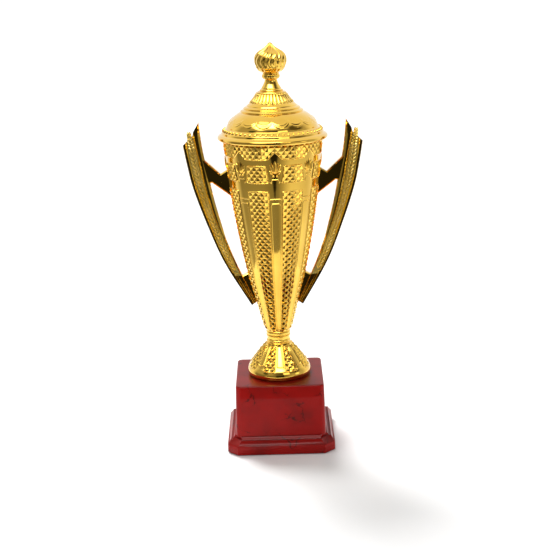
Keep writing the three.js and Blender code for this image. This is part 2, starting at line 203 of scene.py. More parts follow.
ceiling = node(room, "MapRange", {"Value": up, "From Min": 0.62, "From Max": 0.70})
painted = node(
    room, "Mix", {"data_type": "RGBA", 0: ceiling.outputs[0], 6: walls.outputs[2], 7: grey(0.95)}
)
behind = node(room, "MapRange", {"Value": along, "From Min": 0.05, "From Max": 0.35})
painted = node(
    room, "Mix", {"data_type": "RGBA", 0: behind.outputs[0], 6: painted.outputs[2], 7: grey(1.0)}
)

# Things standing about the room, each a soft round patch: where it is seen, how wide, its shade.
for aim, reach, shade in [
    ((-0.34, -0.44, 0.83), 0.25, grey(8.0)),
    ((0.02, -0.46, 0.88), 0.22, grey(8.0)),
    ((0.74, -0.30, 0.60), 0.30, grey(0.09, 1.0)),
    ((0.36, -0.72, 0.50), 0.20, grey(0.16, 0.9)),
    ((-0.74, -0.56, 0.36), 0.17, colour("#3f4e34")),
    ((0.92, -0.38, 0.12), 0.14, grey(1.6, 0.1)),
]:
    gap = node(room, "VectorMath", {"operation": "DISTANCE", 0: way, 1: aim})
    patch = node(
        room,
        "MapRange",
        {
            "Value": gap.outputs["Value"],
            "From Min": reach * 0.7,
            "From Max": reach * 1.3,
            "To Min": 1.0,
            "To Max": 0.0,
        },
    )
    painted = node(
        room, "Mix", {"data_type": "RGBA", 0: patch.outputs[0], 6: painted.outputs[2], 7: shade}
    )

# The dark figure in front, who stands on the floor and widens upwards to shoulder height.
core_width = node(
    room,
    "MapRange",
    {"Value": up, "From Min": -0.47, "From Max": -0.25, "To Min": -0.03, "To Max": 0.25},
)
core_offset = node(room, "Math", {"operation": "SUBTRACT", 0: across, 1: 0.03})
core_reach = node(room, "Math", {"operation": "ABSOLUTE", 0: core_offset.outputs[0]})
core_gap = node(
    room, "Math", {"operation": "SUBTRACT", 0: core_width.outputs[0], 1: core_reach.outputs[0]}
)
core = node(room, "MapRange", {"Value": core_gap.outputs[0], "From Min": -0.03, "From Max": 0.03})
core_top = node(room, "MapRange", {"Value": up, "From Min": 0.18, "From Max": 0.05})
core_front = node(room, "MapRange", {"Value": along, "From Min": 0.1, "From Max": -0.1})
core_below = node(room, "Math", {"operation": "MULTIPLY", 0: core.outputs[0], 1: core_top.outputs[0]})
core_part = node(
    room, "Math", {"operation": "MULTIPLY", 0: core_below.outputs[0], 1: core_front.outputs[0]}
)
painted = node(
    room,
    "Mix",
    {"data_type": "RGBA", 0: core_part.outputs[0], 6: painted.outputs[2], 7: grey(0.018, 0.5)},
)
rays = node(room, "LightPath", {})
mirror_light = node(room, "Background", {"Color": painted.outputs[2]})
even_light = node(room, "Background", {"Color": grey(1.0), "Strength": 0.46})
clear_light = node(room, "Background", {"Color": grey(1.0), "Strength": 1.05})
lit = node(
    room,
    "MixShader",
    {0: rays.outputs["Is Glossy Ray"], 1: even_light.outputs[0], 2: mirror_light.outputs[0]},
)
seen = node(
    room,
    "MixShader",
    {0: rays.outputs["Is Camera Ray"], 1: lit.outputs[0], 2: clear_light.outputs[0]},
)
node(room, "OutputWorld", {"Surface": seen.outputs[0]})


# ------------------------------------------------------------------ Foam foot pads
# Four 12 mm self-adhesive discs of black closed-cell foam, punched from sheet and pressed on
# under the corners. Punching leaves the top edge a little rounded and the side slightly waisted.


def piece_box(name):
    """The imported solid's lowest and highest corner in millimetres."""
    low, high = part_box(name)
    return [v / MM for v in low], [v / MM for v in high]


def turned(outline, sides, lift=None):
    """Points and faces of a turned skin. outline is a loop or an open run of (radius, height).

    lift(angle, radius, height) stands the surface off its outline, in millimetres."""
    line = np.array(outline, float)
    closed = np.allclose(line[0], line[-1])
    if closed:
        line = line[:-1]
    before = np.roll(line, 1, 0)
    after = np.roll(line, -1, 0)
    if not closed:
        before[0], after[-1] = line[0], line[-1]
    along_line = after - before
    length = np.maximum(np.hypot(*along_line.T), 1e-9)
    out = np.stack([along_line[:, 1], -along_line[:, 0]], 1) / length[:, None]
    angle = np.arange(sides) * 2 * math.pi / sides
    raised = np.zeros((len(line), sides))
    if lift:
        raised = lift(angle[None, :], line[:, :1], line[:, 1:])
    radius = line[:, :1] + out[:, :1] * raised
    height = line[:, 1:] + out[:, 1:] * raised
    points = np.stack(
        [radius * np.cos(angle), radius * np.sin(angle), np.broadcast_to(height, radius.shape)], 2
    ).reshape(-1, 3)
    rows = len(line) if closed else len(line) - 1
    faces = []
    for i in range(rows):
        a = i * sides
        b = (i + 1) % len(line) * sides
        for j in range(sides):
            k = (j + 1) % sides
            faces.append((a + j, a + k, b + k, b + j))
    return points, faces


def soft_path(corners, closed=True, step=0.35):
    """A run of (radius, height, rounding) with an arc of that radius at each corner."""
    points = []
    count = len(corners)
    for i, corner in enumerate(corners):
        here = Vector(corner[:2])
        rounding = corner[2] if len(corner) > 2 else 0
        end = not closed and i in (0, count - 1)
        if rounding <= 0 or end:
            points.append(tuple(here))
            continue
        back = Vector(corners[i - 1][:2]) - here
        ahead = Vector(corners[(i + 1) % count][:2]) - here
        half = back.angle(ahead) / 2
        reach = min(rounding / math.tan(half), back.length * 0.48, ahead.length * 0.48)
        start = here + back.normalized() * reach
        stop = here + ahead.normalized() * reach
        centre = here + (back.normalized() + ahead.normalized()).normalized() * reach / math.cos(half)
        pieces = max(2, math.ceil(rounding * (math.pi - 2 * half) / step))
        first, last = start - centre, stop - centre
        sweep = first.angle_signed(last)
        for k in range(pieces + 1):
            points.append(tuple(centre + Matrix.Rotation(-sweep * k / pieces, 2) @ first))
    if closed:
        points.append(points[0])
    return points


def flowing(knots, pieces):
    """A smooth curve through the knots, by Catmull-Rom, as a list of points."""
    line = np.array(knots, float)
    ends = [2 * line[0] - line[1], *line, 2 * line[-1] - line[-2]]
    points = []
    for p0, p1, p2, p3 in zip(ends, ends[1:], ends[2:], ends[3:]):
        for k in range(pieces):
            t = k / pieces
            point = 2 * p1 + (p2 - p0) * t
            point += (2 * p0 - 5 * p1 + 4 * p2 - p3) * t**2
            point += (3 * p1 - p0 - 3 * p2 + p3) * t**3
            points.append(tuple(point / 2))
    points.append(tuple(line[-1]))
    return points


def make_piece(name, points, faces, material, sharp=35.0):
    """A mesh object from points in millimetres, with edges steeper than sharp degrees kept crisp."""
    mesh = bpy.data.meshes.new(name)
    mesh.from_pydata((np.asarray(points, float) * MM).tolist(), [], [tuple(f) for f in faces])
    work = bmesh.new()
    work.from_mesh(mesh)
    bmesh.ops.remove_doubles(work, verts=work.verts, dist=2e-6)
    bmesh.ops.dissolve_degenerate(work, edges=work.edges, dist=1e-6)
    bmesh.ops.recalc_face_normals(work, faces=work.faces)
    work.to_mesh(mesh)
    work.free()
    mesh.shade_smooth()
    mesh.set_sharp_from_angle(angle=math.radians(sharp))
    mesh.materials.append(material)
    piece = bpy.data.objects.new(name, mesh)
    bpy.context.scene.collection.objects.link(piece)
    return piece


def dress(name, material):
    """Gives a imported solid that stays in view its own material."""
    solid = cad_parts[name].data
    solid.materials.clear()
    solid.materials.append(material)


def start_finish(name):
    """A new material with its node tree, its shader and the object's own coordinates."""
    material = bpy.data.materials.new(name)
    material.use_nodes = True
    tree = material.node_tree
    place = node(tree, "TexCoord", {}).outputs["Object"]
    return material, tree, tree.nodes["Principled BSDF"], place


# Cross-linked foam, cut: a dull black skin with open cells about 0.4 mm wide at the cut side,
# which gives it a dry, finely pitted look.
foam, tree, shader, place = start_finish("closed_cell_foam_cut")
CELL = 0.4
cells = node(tree, "TexVoronoi", {"Vector": place, "Scale": 1 / (CELL * MM)})
shade = node(
    tree,
    "ValToRGB",
    {"Fac": cells.outputs["Distance"], "stops": [(0.1, colour("#121212")), (0.7, colour("#262525"))]},
)
pits = node(
    tree, "Bump", {"Height": cells.outputs["Distance"], "Strength": 0.5, "Distance": 0.1 * MM}
)
tree.links.new(shade.outputs[0], shader.inputs["Base Color"])
tree.links.new(pits.outputs[0], shader.inputs["Normal"])
shader.inputs["Roughness"].default_value = 0.92

for number in range(1, 5):
    low, high = piece_box(f"foot_pad_{number}")
    thick = high[2] - low[2]
    radius = (high[0] - low[0]) / 2
    cut = soft_path(
        [
            (0.01, 0),
            (radius - 0.1, 0, 0.3),
            (radius - 0.35, thick / 2, 1.5),
            (radius, thick, 0.1),
            (0.01, thick),
        ]
    )
    points, faces = turned(cut, 40)
    points += [(low[0] + high[0]) / 2, (low[1] + high[1]) / 2, low[2]]
    pad = make_piece(f"foam_pad_{number}", points, faces, foam)
    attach(pad, "root")
    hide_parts(f"foot_pad_{number}")


# ------------------------------------------------------------------ Bottom board and its screws
# A sheet of matt black hardboard closes the plinth from below, held by four pan head screws with
# a cross recess, driven up into the plinth's corner bosses.

# Hardboard, pressed: the smooth side faces down. Its fibres, a few millimetres long, show as
# faint flecks in the black dye and the surface stays dull.
board, tree, shader, place = start_finish("dyed_hardboard_pressed")
FIBRE = 3.0
stretched = node(tree, "Mapping", {"Vector": place, "Scale": (1.0, 0.25, 1.0)})
fibres = node(
    tree, "TexNoise", {"Vector": stretched.outputs[0], "Scale": 1 / (FIBRE * MM), "Detail": 6.0}
)
shade = node(
    tree,
    "ValToRGB",
    {"Fac": fibres.outputs[0], "stops": [(0.35, colour("#171515")), (0.7, colour("#2e2927"))]},
)
nap = node(tree, "Bump", {"Height": fibres.outputs[0], "Strength": 0.3, "Distance": 0.1 * MM})
tree.links.new(shade.outputs[0], shader.inputs["Base Color"])
tree.links.new(nap.outputs[0], shader.inputs["Normal"])
shader.inputs["Roughness"].default_value = 0.75
dress("bottom_plate", board)

# Mild steel, zinc plated and blue passivated: bright, slightly blue, with soft smears where the
# plating bath drained, a few millimetres across.
zinc, tree, shader, place = start_finish("zinc_plated_steel")
SMEAR = 4.0
smears = node(tree, "TexNoise", {"Vector": place, "Scale": 1 / (SMEAR * MM), "Detail": 4.0})
shade = node(
    tree,
    "ValToRGB",
    {"Fac": smears.outputs[0], "stops": [(0.3, colour("#a9adb2")), (0.7, colour("#cfd0cc"))]},
)
dull = node(tree, "MapRange", {"Value": smears.outputs[0], "To Min": 0.24, "To Max": 0.42})
tree.links.new(shade.outputs[0], shader.inputs["Base Color"])
tree.links.new(dull.outputs[0], shader.inputs["Roughness"])
shader.inputs["Metallic"].default_value = 1.0


def screw_head(radius, height, recess):
    """A domed head with a cross recess, its top up, standing on z = 0."""

    def cross(angle, r, z):
        arm = np.minimum(abs(np.cos(angle)), abs(np.sin(angle))) * r
        inside = (arm < recess * 0.28) & (r < recess) & (z > height * 0.5)
        return np.where(inside, -height * 0.55, 0.0)

    crown = flowing([(radius, height * 0.35), (radius * 0.86, height * 0.8), (radius * 0.5, height)], 5)
    top = [(r, height) for r in np.linspace(radius * 0.48, 0.02, 16)]
    return turned([(0.02, 0), (radius, 0), *crown, *top, (0.02, 0)], 48, cross)


HEAD_TALL, HEAD_RECESS = 1.2, 1.9
SHANK, SHANK_CORE, HALF_PITCH = 1.5, 1.15, 0.3
for number in range(1, 5):
    low, high = piece_box(f"bottom_screw_{number}")
    middle = [(low[0] + high[0]) / 2, (low[1] + high[1]) / 2]
    head_points, head_faces = screw_head((high[0] - low[0]) / 2, HEAD_TALL, HEAD_RECESS)
    head_points = head_points * [1, -1, -1] + [*middle, low[2] + HEAD_TALL]
    tip = high[2] - low[2]
    turns = range(int((tip - 2 * HEAD_TALL) / HALF_PITCH))
    thread = [(SHANK_CORE if k % 2 else SHANK, HEAD_TALL + HALF_PITCH * k) for k in turns]
    shank = [(0.01, HEAD_TALL - 0.1), (SHANK, HEAD_TALL - 0.1), *thread, (0.01, tip - 0.2)]
    shank_points, shank_faces = turned([*shank, shank[0]], 16)
    shank_points = shank_points + [*middle, low[2]]
    start = len(head_points)
    points = np.vstack([head_points, shank_points])
    faces = head_faces + [tuple(start + i for i in f) for f in shank_faces]
    screw = make_piece(f"pan_head_screw_{number}", points, faces, zinc, 30)
    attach(screw, "root")
    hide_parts(f"bottom_screw_{number}")


# ------------------------------------------------------------------ Plinth: lower tier
# The wide lower tier of the plinth, moulded hollow in one piece: a chamfered wall, a sloped
# ledge with a raised bead, and a cove up to the block. Above the wall its corners are scooped in.

# Styrene, moulded and lacquered: cherry red with a few thin, smoky cracks of dark pigment that run
# straight and fork, under a clear skin that mirrors only at a shallow angle.
cherry, tree, shader, place = start_finish("lacquered_styrene_veined")
VEIN_GAP, VEIN_DRIFT, VEIN_PATCH = 21.0, 11.0, 19.0
SMOKE, CLOUD, RIPPLE = 9.0, 26.0, 6.0
drift = node(
    tree, "TexNoise", {"Vector": place, "Scale": 1 / (SMOKE * MM), "Detail": 4.0, "Roughness": 0.65}
)
drift_step = node(
    tree,
    "VectorMath",
    {"operation": "MULTIPLY_ADD", 0: drift.outputs["Color"], 1: (VEIN_DRIFT * MM,) * 3, 2: place},
)
veins = node(
    tree,
    "TexVoronoi",
    {"feature": "DISTANCE_TO_EDGE", "Vector": drift_step.outputs[0], "Scale": 1 / (VEIN_GAP * MM)},
)
patchy = node(tree, "TexNoise", {"Vector": place, "Scale": 1 / (VEIN_PATCH * MM), "Detail": 3.0})
vein_width = node(
    tree,
    "MapRange",
    {"Value": patchy.outputs[0], "From Min": 0.52, "From Max": 0.74, "To Min": 0.001, "To Max": 0.075},
)
vein_part = node(
    tree,
    "MapRange",
    {"Value": veins.outputs["Distance"], "From Max": vein_width.outputs[0], "To Min": 0.85, "To Max": 0.0},
)
cloud = node(
    tree, "TexNoise", {"Vector": drift_step.outputs[0], "Scale": 1 / (CLOUD * MM), "Detail": 4.0}
)
body_red = node(
    tree,
    "ValToRGB",
    {
        "Fac": cloud.outputs[0],
        "stops": [(0.30, colour("#7c0f0b")), (0.52, colour("#940f0b")), (0.75, colour("#a0100b"))],
    },
)
veined = node(
    tree,
    "Mix",
    {"data_type": "RGBA", 0: vein_part.outputs[0], 6: body_red.outputs[0], 7: colour("#2e0b08")},
)
# The faces that look up are painted darker and browner, a painted shade that holds back the light falling
# on the plinth's top.
facing = node(tree, "NewGeometry", {})
facing_up = node(tree, "SeparateXYZ", {"Vector": facing.outputs["Normal"]})
# thick is how much painted shade the upward faces get, from none to 0.55.
thick = node(
    tree,
    "MapRange",
    {"Value": facing_up.outputs["Z"], "From Min": 0.3, "From Max": 0.95, "To Max": 0.55},
)
top_shaded_red = node(
    tree,
    "Mix",
    {"data_type": "RGBA", 0: thick.outputs[0], 6: veined.outputs[2], 7: colour("#3c100a")},
)
ripple = node(tree, "TexNoise", {"Vector": place, "Scale": 1 / (RIPPLE * MM), "Detail": 2.0})
waves = node(tree, "Bump", {"Height": ripple.outputs[0], "Strength": 0.12, "Distance": 0.12 * MM})
tree.links.new(top_shaded_red.outputs[2], shader.inputs["Base Color"])
tree.links.new(waves.outputs[0], shader.inputs["Normal"])
shader.inputs["Roughness"].default_value = 0.30
shader.inputs["Specular IOR Level"].default_value = 0.05
shader.inputs["Coat Weight"].default_value = 0.18
shader.inputs["Coat Roughness"].default_value = 0.05


def square_ring(half, height, corner, scoop):
    """A square outline at one height. scoop bends its corners in, or out when it is below 0."""
    points = []
    steps = 8
    for quarter in range(4):
        turn = Matrix.Rotation(quarter * math.pi / 2, 2)
        for k in range(steps + 1):
            share = k / steps
            spot = Vector((half - corner * share, half - corner * (1 - share)))
            bend = scoop * 4 * share * (1 - share) / math.sqrt(2)
            points.append((*(turn @ (spot - Vector((bend, bend)))), height))
    return points


def stacked(rings):
    """Points and faces of a skin that runs through closed rings and back to the first."""
    count = len(rings[0])
    points = [p for ring in rings for p in ring]
    faces = []
    for i in range(len(rings)):
        a, b = i * count, (i + 1) % len(rings) * count
        for j in range(count):
            k = (j + 1) % count
            faces.append((a + j, a + k, b + k, b + j))
    return points, faces


low, high = piece_box("plinth_foot_tier")
half, foot, top = high[0], low[2], high[2]
WALL_CHAMFER = 10.0
rings = [
    (half - 0.6, foot, WALL_CHAMFER - 0.4, 0),
    (half - 0.15, foot + 0.25, WALL_CHAMFER - 0.1, 0),
    (half, foot + 0.7, WALL_CHAMFER, 0),
    (half, foot + 8.4, WALL_CHAMFER, 0),
    (half - 0.15, foot + 8.9, WALL_CHAMFER - 0.1, 0),
    (half - 0.5, foot + 9.3, WALL_CHAMFER - 0.3, 0),
    (half - 1.0, foot + 9.8, WALL_CHAMFER - 0.4, 0.1),
    (half - 2.0, foot + 11.2, WALL_CHAMFER - 0.2, 1.2),
    (half - 2.8, foot + 12.5, WALL_CHAMFER, 2.0),
    (half - 3.3, foot + 13.5, WALL_CHAMFER, 2.3),
    (half - 3.6, foot + 13.9, WALL_CHAMFER, 2.4),
    (half - 4.1, foot + 14.0, WALL_CHAMFER - 0.2, 2.4),
    (half - 4.6, foot + 13.8, WALL_CHAMFER - 0.5, 2.4),
    (half - 5.0, foot + 13.5, WALL_CHAMFER - 0.8, 2.4),
    (half - 5.5, foot + 13.6, WALL_CHAMFER - 1.4, 2.3),
    (half - 6.2, foot + 14.4, WALL_CHAMFER - 2.2, 2.0),
    (half - 6.9, foot + 15.6, WALL_CHAMFER - 3.0, 1.4),
    (half - 7.7, foot + 16.5, WALL_CHAMFER - 3.6, 0.8),
    (half - 8.3, top, WALL_CHAMFER - 3.8, 0.6),
    (half - 9.5, top, WALL_CHAMFER - 5, -0.5),
    (half - 15.5, top, 5, -1.46),
    (half - 15.5, top - 3, 5, -1.46),
    (half - 9.0, top - 3, 5, 0),
    (half - 3.1, foot + 8.2, WALL_CHAMFER - 1.8, 0),
    (half - 3.1, foot, WALL_CHAMFER - 1.8, 0),
]
points, faces = stacked([square_ring(h, z, corner, scoop) for h, z, corner, scoop in rings])
tier = make_piece("moulded_plinth_tier", points, faces, cherry, 40)
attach(tier, "root")
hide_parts("plinth_foot_tier")


# ------------------------------------------------------------------ Plinth: block
# The tall block above the tier, from the same styrene. Its walls lean in a little so that it
# leaves the mould, its upright edges are rounded, and the rod passes through its flat top.
low, high = piece_box("plinth_block")
foot, top = low[2], high[2]
half = high[0]
LEAN = 1.1
EDGE = 1.6
CORNER = 5.0
ROUND_CORNER = -1.46
WALL = 3.0
ROD_HOLE = 3.3
rings = [
    square_ring(half, foot, CORNER, ROUND_CORNER),
    square_ring(half - LEAN, top - EDGE, CORNER, ROUND_CORNER),
]
for k in range(1, 6):
    lean = math.radians(90 * k / 5)
    inset = EDGE * (1 - math.cos(lean))
    height = top - EDGE + EDGE * math.sin(lean)
    rings.append(square_ring(half - LEAN - inset, height, CORNER - 0.6 * inset, ROUND_CORNER))
rings.append(square_ring(half - LEAN - EDGE - 3, top, CORNER - 2, ROUND_CORNER * 0.6))
hole = [
    [ROD_HOLE * math.cos(a), ROD_HOLE * math.sin(a)]
    for a in (math.radians(10 * k + 5) for k in range(36))
]
rings.append([(x, y, top) for x, y in hole])
rings.append([(x, y, top - WALL) for x, y in hole])
rings.append(square_ring(half - LEAN - WALL - 1, top - WALL, CORNER - 2, ROUND_CORNER * 0.6))
rings.append(square_ring(half - WALL, foot, CORNER - 2, ROUND_CORNER * 0.6))
points, faces = stacked(rings)
block = make_piece("moulded_plinth_block", points, faces, cherry, 40)
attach(block, "root")
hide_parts("plinth_block")


# ------------------------------------------------------------------ Ballast, rod, washers and nuts
# One threaded steel rod clamps everything: a nut and washer under the cast iron ballast inside
# the block, then the block's top, the foot, the collar and the cup's floor, and a nut inside the cup.

# Cast iron, as cast in sand: dark grey with a rough skin, grains about 0.6 mm, and a rusty bloom.
iron, tree, shader, place = start_finish("grey_iron_sand_cast")
GRAIN, BLOOM = 0.6, 12.0
grains = node(tree, "TexNoise", {"Vector": place, "Scale": 1 / (GRAIN * MM), "Detail": 5.0})
bloom = node(tree, "TexNoise", {"Vector": place, "Scale": 1 / (BLOOM * MM), "Detail": 4.0})
shade = node(
    tree,
    "ValToRGB",
    {"Fac": bloom.outputs[0], "stops": [(0.4, colour("#3a3837")), (0.7, colour("#54443a"))]},
)
skin = node(tree, "Bump", {"Height": grains.outputs[0], "Strength": 0.8, "Distance": 0.3 * MM})
tree.links.new(shade.outputs[0], shader.inputs["Base Color"])
tree.links.new(skin.outputs[0], shader.inputs["Normal"])
shader.inputs["Metallic"].default_value = 0.6
shader.inputs["Roughness"].default_value = 0.7
dress("ballast_plate", iron)
for name in ("rod_washer_bottom", "rod_washer_top", "rod_nut_bottom", "rod_nut_top"):
    dress(name, zinc)

low, high = piece_box("tie_rod")
rod_radius = high[0]
PITCH = 1.0
thread = []
for k in range(int((high[2] - low[2] - 1) / PITCH)):
    base = low[2] + 0.5 + k * PITCH
    thread += [(rod_radius - 0.55, base), (rod_radius, base + 0.45), (rod_radius, base + 0.58)]
chamfer = rod_radius - 0.8
rod_line = [(0.01, low[2]), (chamfer, low[2]), *thread, (chamfer, high[2]), (0.01, high[2])]
points, faces = turned([*rod_line, rod_line[0]], 24)
rod = make_piece("threaded_rod", points, faces, zinc, 30)
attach(rod, "root")
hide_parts("tie_rod")


# ------------------------------------------------------------------ Pedestal foot
# A thin bell-shaped foot, moulded with eight wedge flutes and eight panels of pyramid studs
# between them. It stands on the plinth on a rolled rim.

# ABS, vacuum metallised: a film of aluminium under amber lacquer, over a moulded skin. It mirrors
# like gold, with a faint orange peel a few millimetres wide, and is browner where the lacquer pooled.
gold, tree, shader, place = start_finish("abs_vacuum_metallised_gold")
PEEL, POOL, HAZE = 3.5, 38.0, 14.0
pooled = node(tree, "TexNoise", {"Vector": place, "Scale": 1 / (POOL * MM), "Detail": 3.0})
lacquer = node(
    tree,
    "ValToRGB",
    {"Fac": pooled.outputs[0], "stops": [(0.32, colour("#ebba40")), (0.66, colour("#fbcd52"))]},
)
peel = node(tree, "TexNoise", {"Vector": place, "Scale": 1 / (PEEL * MM), "Detail": 2.0})
skin = node(tree, "Bump", {"Height": peel.outputs[0], "Strength": 0.10, "Distance": 0.05 * MM})
haze = node(tree, "TexNoise", {"Vector": place, "Scale": 1 / (HAZE * MM), "Detail": 4.0})
dull = node(tree, "MapRange", {"Value": haze.outputs[0], "To Min": 0.035, "To Max": 0.09})
tree.links.new(lacquer.outputs[0], shader.inputs["Base Color"])
tree.links.new(dull.outputs[0], shader.inputs["Roughness"])
tree.links.new(skin.outputs[0], shader.inputs["Normal"])
shader.inputs["Metallic"].default_value = 1.0
shader.inputs["Coat Weight"].default_value = 0.6
shader.inputs["Coat Roughness"].default_value = 0.06

SECTORS = 8
HALF_SECTOR = math.pi / SECTORS


def rounded_run(corners):
    """An open run of (across, down, rounding) with arcs at its corners, as an array."""
    return np.array(soft_path(corners, closed=False, step=0.5), float)


def stepped(run, step):
    """The run with points added so that none are further apart than step."""
    points = [run[0]]
    for a, b in zip(run, run[1:]):
        pieces = max(1, math.ceil(np.hypot(*(b - a)) / step))
        points += [a + (b - a) * k / pieces for k in range(1, pieces + 1)]
    return np.array(points)


def shifted(run, distance):
    """The run moved sideways by distance: away from the panel's middle where it goes down."""
    way = np.gradient(run, axis=0)
    way /= np.maximum(np.hypot(*way.T), 1e-9)[:, None]
    return run + np.stack([way[:, 1], -way[:, 0]], 1) * distance


def distance_to(points, run):
    """How far each point is from the run."""
    a, b = run[:-1], run[1:]
    ab = b - a
    best = np.full(len(points), 1e9)
    for start, step in zip(a, ab):
        share = np.clip(((points - start) @ step) / max(step @ step, 1e-12), 0, 1)
        best = np.minimum(best, np.hypot(*(points - start - share[:, None] * step).T))
    return best


def inside(points, loop):
    """Which points lie inside the closed loop."""
    x, y = points.T
    found = np.zeros(len(points), bool)
    for (x1, y1), (x2, y2) in zip(loop, np.roll(loop, -1, 0)):
        if y1 != y2:
            found ^= ((y1 > y) != (y2 > y)) & (x < (x2 - x1) * (y - y1) / (y2 - y1) + x1)
    return found


class StuddedWall:
    """One eighth of a turned wall laid out flat, with pyramid studs in raised frames.

    across runs round the wall from the middle of a panel to the middle of a flute, and down runs
    along the outline from its top. Both are millimetres on the wall."""

    TABLE_STEPS = 800
    RUN_CLEARANCE = 0.55

    def __init__(self, outline, stud, stud_height, frame_height, frame_width):
        self.line = np.array(outline, float)
        steps = np.hypot(*np.diff(self.line, axis=0).T)
        self.down = np.concatenate([[0], np.cumsum(steps)])
        self.length = self.down[-1]
        way = np.gradient(self.line, self.down, axis=0)
        self.out = np.stack([-way[:, 1], way[:, 0]], 1) / np.hypot(*way.T)[:, None]
        self.stud, self.stud_height = stud, stud_height
        self.frame_height, self.frame_width = frame_height, frame_width
        self.panels, self.ridges = [], []

    def radius(self, down):
        return np.interp(down, self.down, self.line[:, 0])

    def down_at(self, height):
        return np.interp(-height, -self.line[:, 1], self.down)

    def spot(self, degrees, height):
        """The flat place of an angle from the panel's middle and a height."""
        down = self.down_at(height)
        return float(self.radius(down) * math.radians(degrees)), float(down)

    def flute_edge(self, down):
        return self.radius(down) * HALF_SECTOR

    def place(self, flat, lift):
        """Flat places and their lift as points round the axis, at angle 0 in the panel's middle."""
        radius = self.radius(flat[:, 1])
        out = [np.interp(flat[:, 1], self.down, self.out[:, k]) for k in (0, 1)]
        height = np.interp(flat[:, 1], self.down, self.line[:, 1]) + out[1] * lift
        angle = flat[:, 0] / radius
        reach = radius + out[0] * lift
        return np.stack([reach * np.cos(angle), reach * np.sin(angle), height], 1)

    def add_panel(self, run, phase, open_top=None):
        """A stud panel whose outer edge is run, from top to bottom. phase shifts its rows.

        With open_top it has no frame above: it reaches up to there and right across the sector."""
        edge = stepped(run, 1.0)
        inner = shifted(edge, -self.frame_width)
        head = [(-1, inner[0][1])] if open_top is None else [(-1, open_top), (30, open_top)]
        loop = np.vstack([head, inner, [(-1, inner[-1][1])]])
        self.panels.append({"edge": edge, "loop": loop, "phase": phase})

    def add_ridge(self, run, width, height):
        self.ridges.append({"edge": stepped(run, 1.2), "width": width, "height": height})

    def smooth_lift(self, flat):
        """The height of the frames and ridges, without the studs."""
        lift = np.zeros(len(flat))
        for ridge in self.ridges:
            gap = distance_to(flat, ridge["edge"]) / (ridge["width"] / 2)
            lift = np.maximum(lift, ridge["height"] * np.clip(1 - gap**2, 0, 1))
        for panel in self.panels:
            middle = shifted(panel["edge"], -self.frame_width / 2)
            gap = distance_to(flat, middle) / (self.frame_width / 2)
            lift = np.maximum(lift, self.frame_height * np.clip((1 - gap) / 0.5, 0, 1))
        return lift

    def stud_lift(self, flat, phase):
        """The height of the pyramids alone."""
        wide = self.stud_size(flat[:, 1])[0]
        p = flat[:, 0] / (wide / 2)
        q = self.rows(flat[:, 1]) - phase
        i, j = np.floor(p), np.floor(q)
        fp, fq = p - i, q - j
        even = (i + j) % 2 == 0
        return self.stud_height * np.where(even, abs(1 - fp - fq), abs(fp - fq))

    def stud_size(self, down):
        """How wide and how tall a stud is at this place. Both shrink evenly down the wall."""
        share = down / self.length
        (wide_top, tall_top), (wide_low, tall_low) = self.stud
        return wide_top + (wide_low - wide_top) * share, tall_top + (tall_low - tall_top) * share

    def rows(self, down):
        """How many half studs lie above this place."""
        fine = np.linspace(0, self.length, self.TABLE_STEPS)
        tall = self.stud_size(fine)[1]
        count = np.concatenate([[0], np.cumsum(np.diff(fine) / (tall[1:] / 2))])
        return np.interp(down, fine, count)

    def studs_in(self, panel):
        """The stud grid's edges, clipped to the panel, as pairs of flat places."""
        fine = np.linspace(0, self.length, self.TABLE_STEPS)
        table = self.rows(fine)
        loop = panel["loop"]
        q = self.rows(loop[:, 1]) - panel["phase"]
        p = loop[:, 0] / (self.stud_size(loop[:, 1])[0] / 2)
        ring = np.stack([p, q], 1)
        high_p, low_q, high_q = math.ceil(p.max()) + 1, math.floor(q.min()), math.ceil(q.max())
        lines = [((i, low_q - 1), (0, 1)) for i in range(high_p + 1)]
        lines += [((-1, j), (1, 0)) for j in range(low_q, high_q + 1)]
        for c in range(low_q - high_p - 2, high_q + high_p + 3):
            if c % 2:
                lines.append(((-1, c + 1), (1, -1)))
                lines.append(((-1, c - 1), (1, 1)))
        found = []
        for start, way in lines:
            start, way = np.array(start, float), np.array(way, float)
            side = np.array([-way[1], way[0]])
            offset = (ring - start) @ side
            ahead = (ring - start) @ way / (way @ way)
            cuts = []
            for k in range(len(ring)):
                a, b = offset[k - 1], offset[k]
                if (a > 1e-9) != (b > 1e-9):
                    cuts.append(ahead[k - 1] + (ahead[k] - ahead[k - 1]) * (1e-9 - a) / (b - a))
            cuts.sort()
            for first, last in zip(cuts[::2], cuts[1::2]):
                # Pieces of a grid step at most, so that the line follows the studs' edges.
                pieces = max(1, math.ceil(abs(last - first)))
                chain = []
                for k in range(pieces + 1):
                    spot = start + way * (first + (last - first) * k / pieces)
                    down = float(np.interp(spot[1] + panel["phase"], table, fine))
                    chain.append((max(0.0, spot[0] * float(self.stud_size(down)[0]) / 2), down))
                found += list(zip(chain, chain[1:]))
        return found

    def frame_runs(self):
        """Runs along the edges and crests of every frame and ridge."""
        runs = []
        for panel in self.panels:
            for share in (0.3, 0, -0.25, -0.75, -1.0):
                run = shifted(panel["edge"], self.frame_width * share)
                run[0][0] = min(run[0][0], 0)
                runs.append(run)
        for ridge in self.ridges:
            for share in (-1.35, -1, -0.6, 0, 0.6, 1, 1.35):
                runs.append(shifted(ridge["edge"], ridge["width"] / 2 * share))
        return runs

    def lay_out(self, spacing):
        """Flat points for the whole sector, and the edges that its triangles must keep."""
        points, edges = [], []

        def add_run(run, close=False):
            first = len(points)
            points.extend(map(tuple, run))
            edges.extend((first + k, first + k + 1) for k in range(len(run) - 1))
            if close:
                edges.append((len(points) - 1, first))

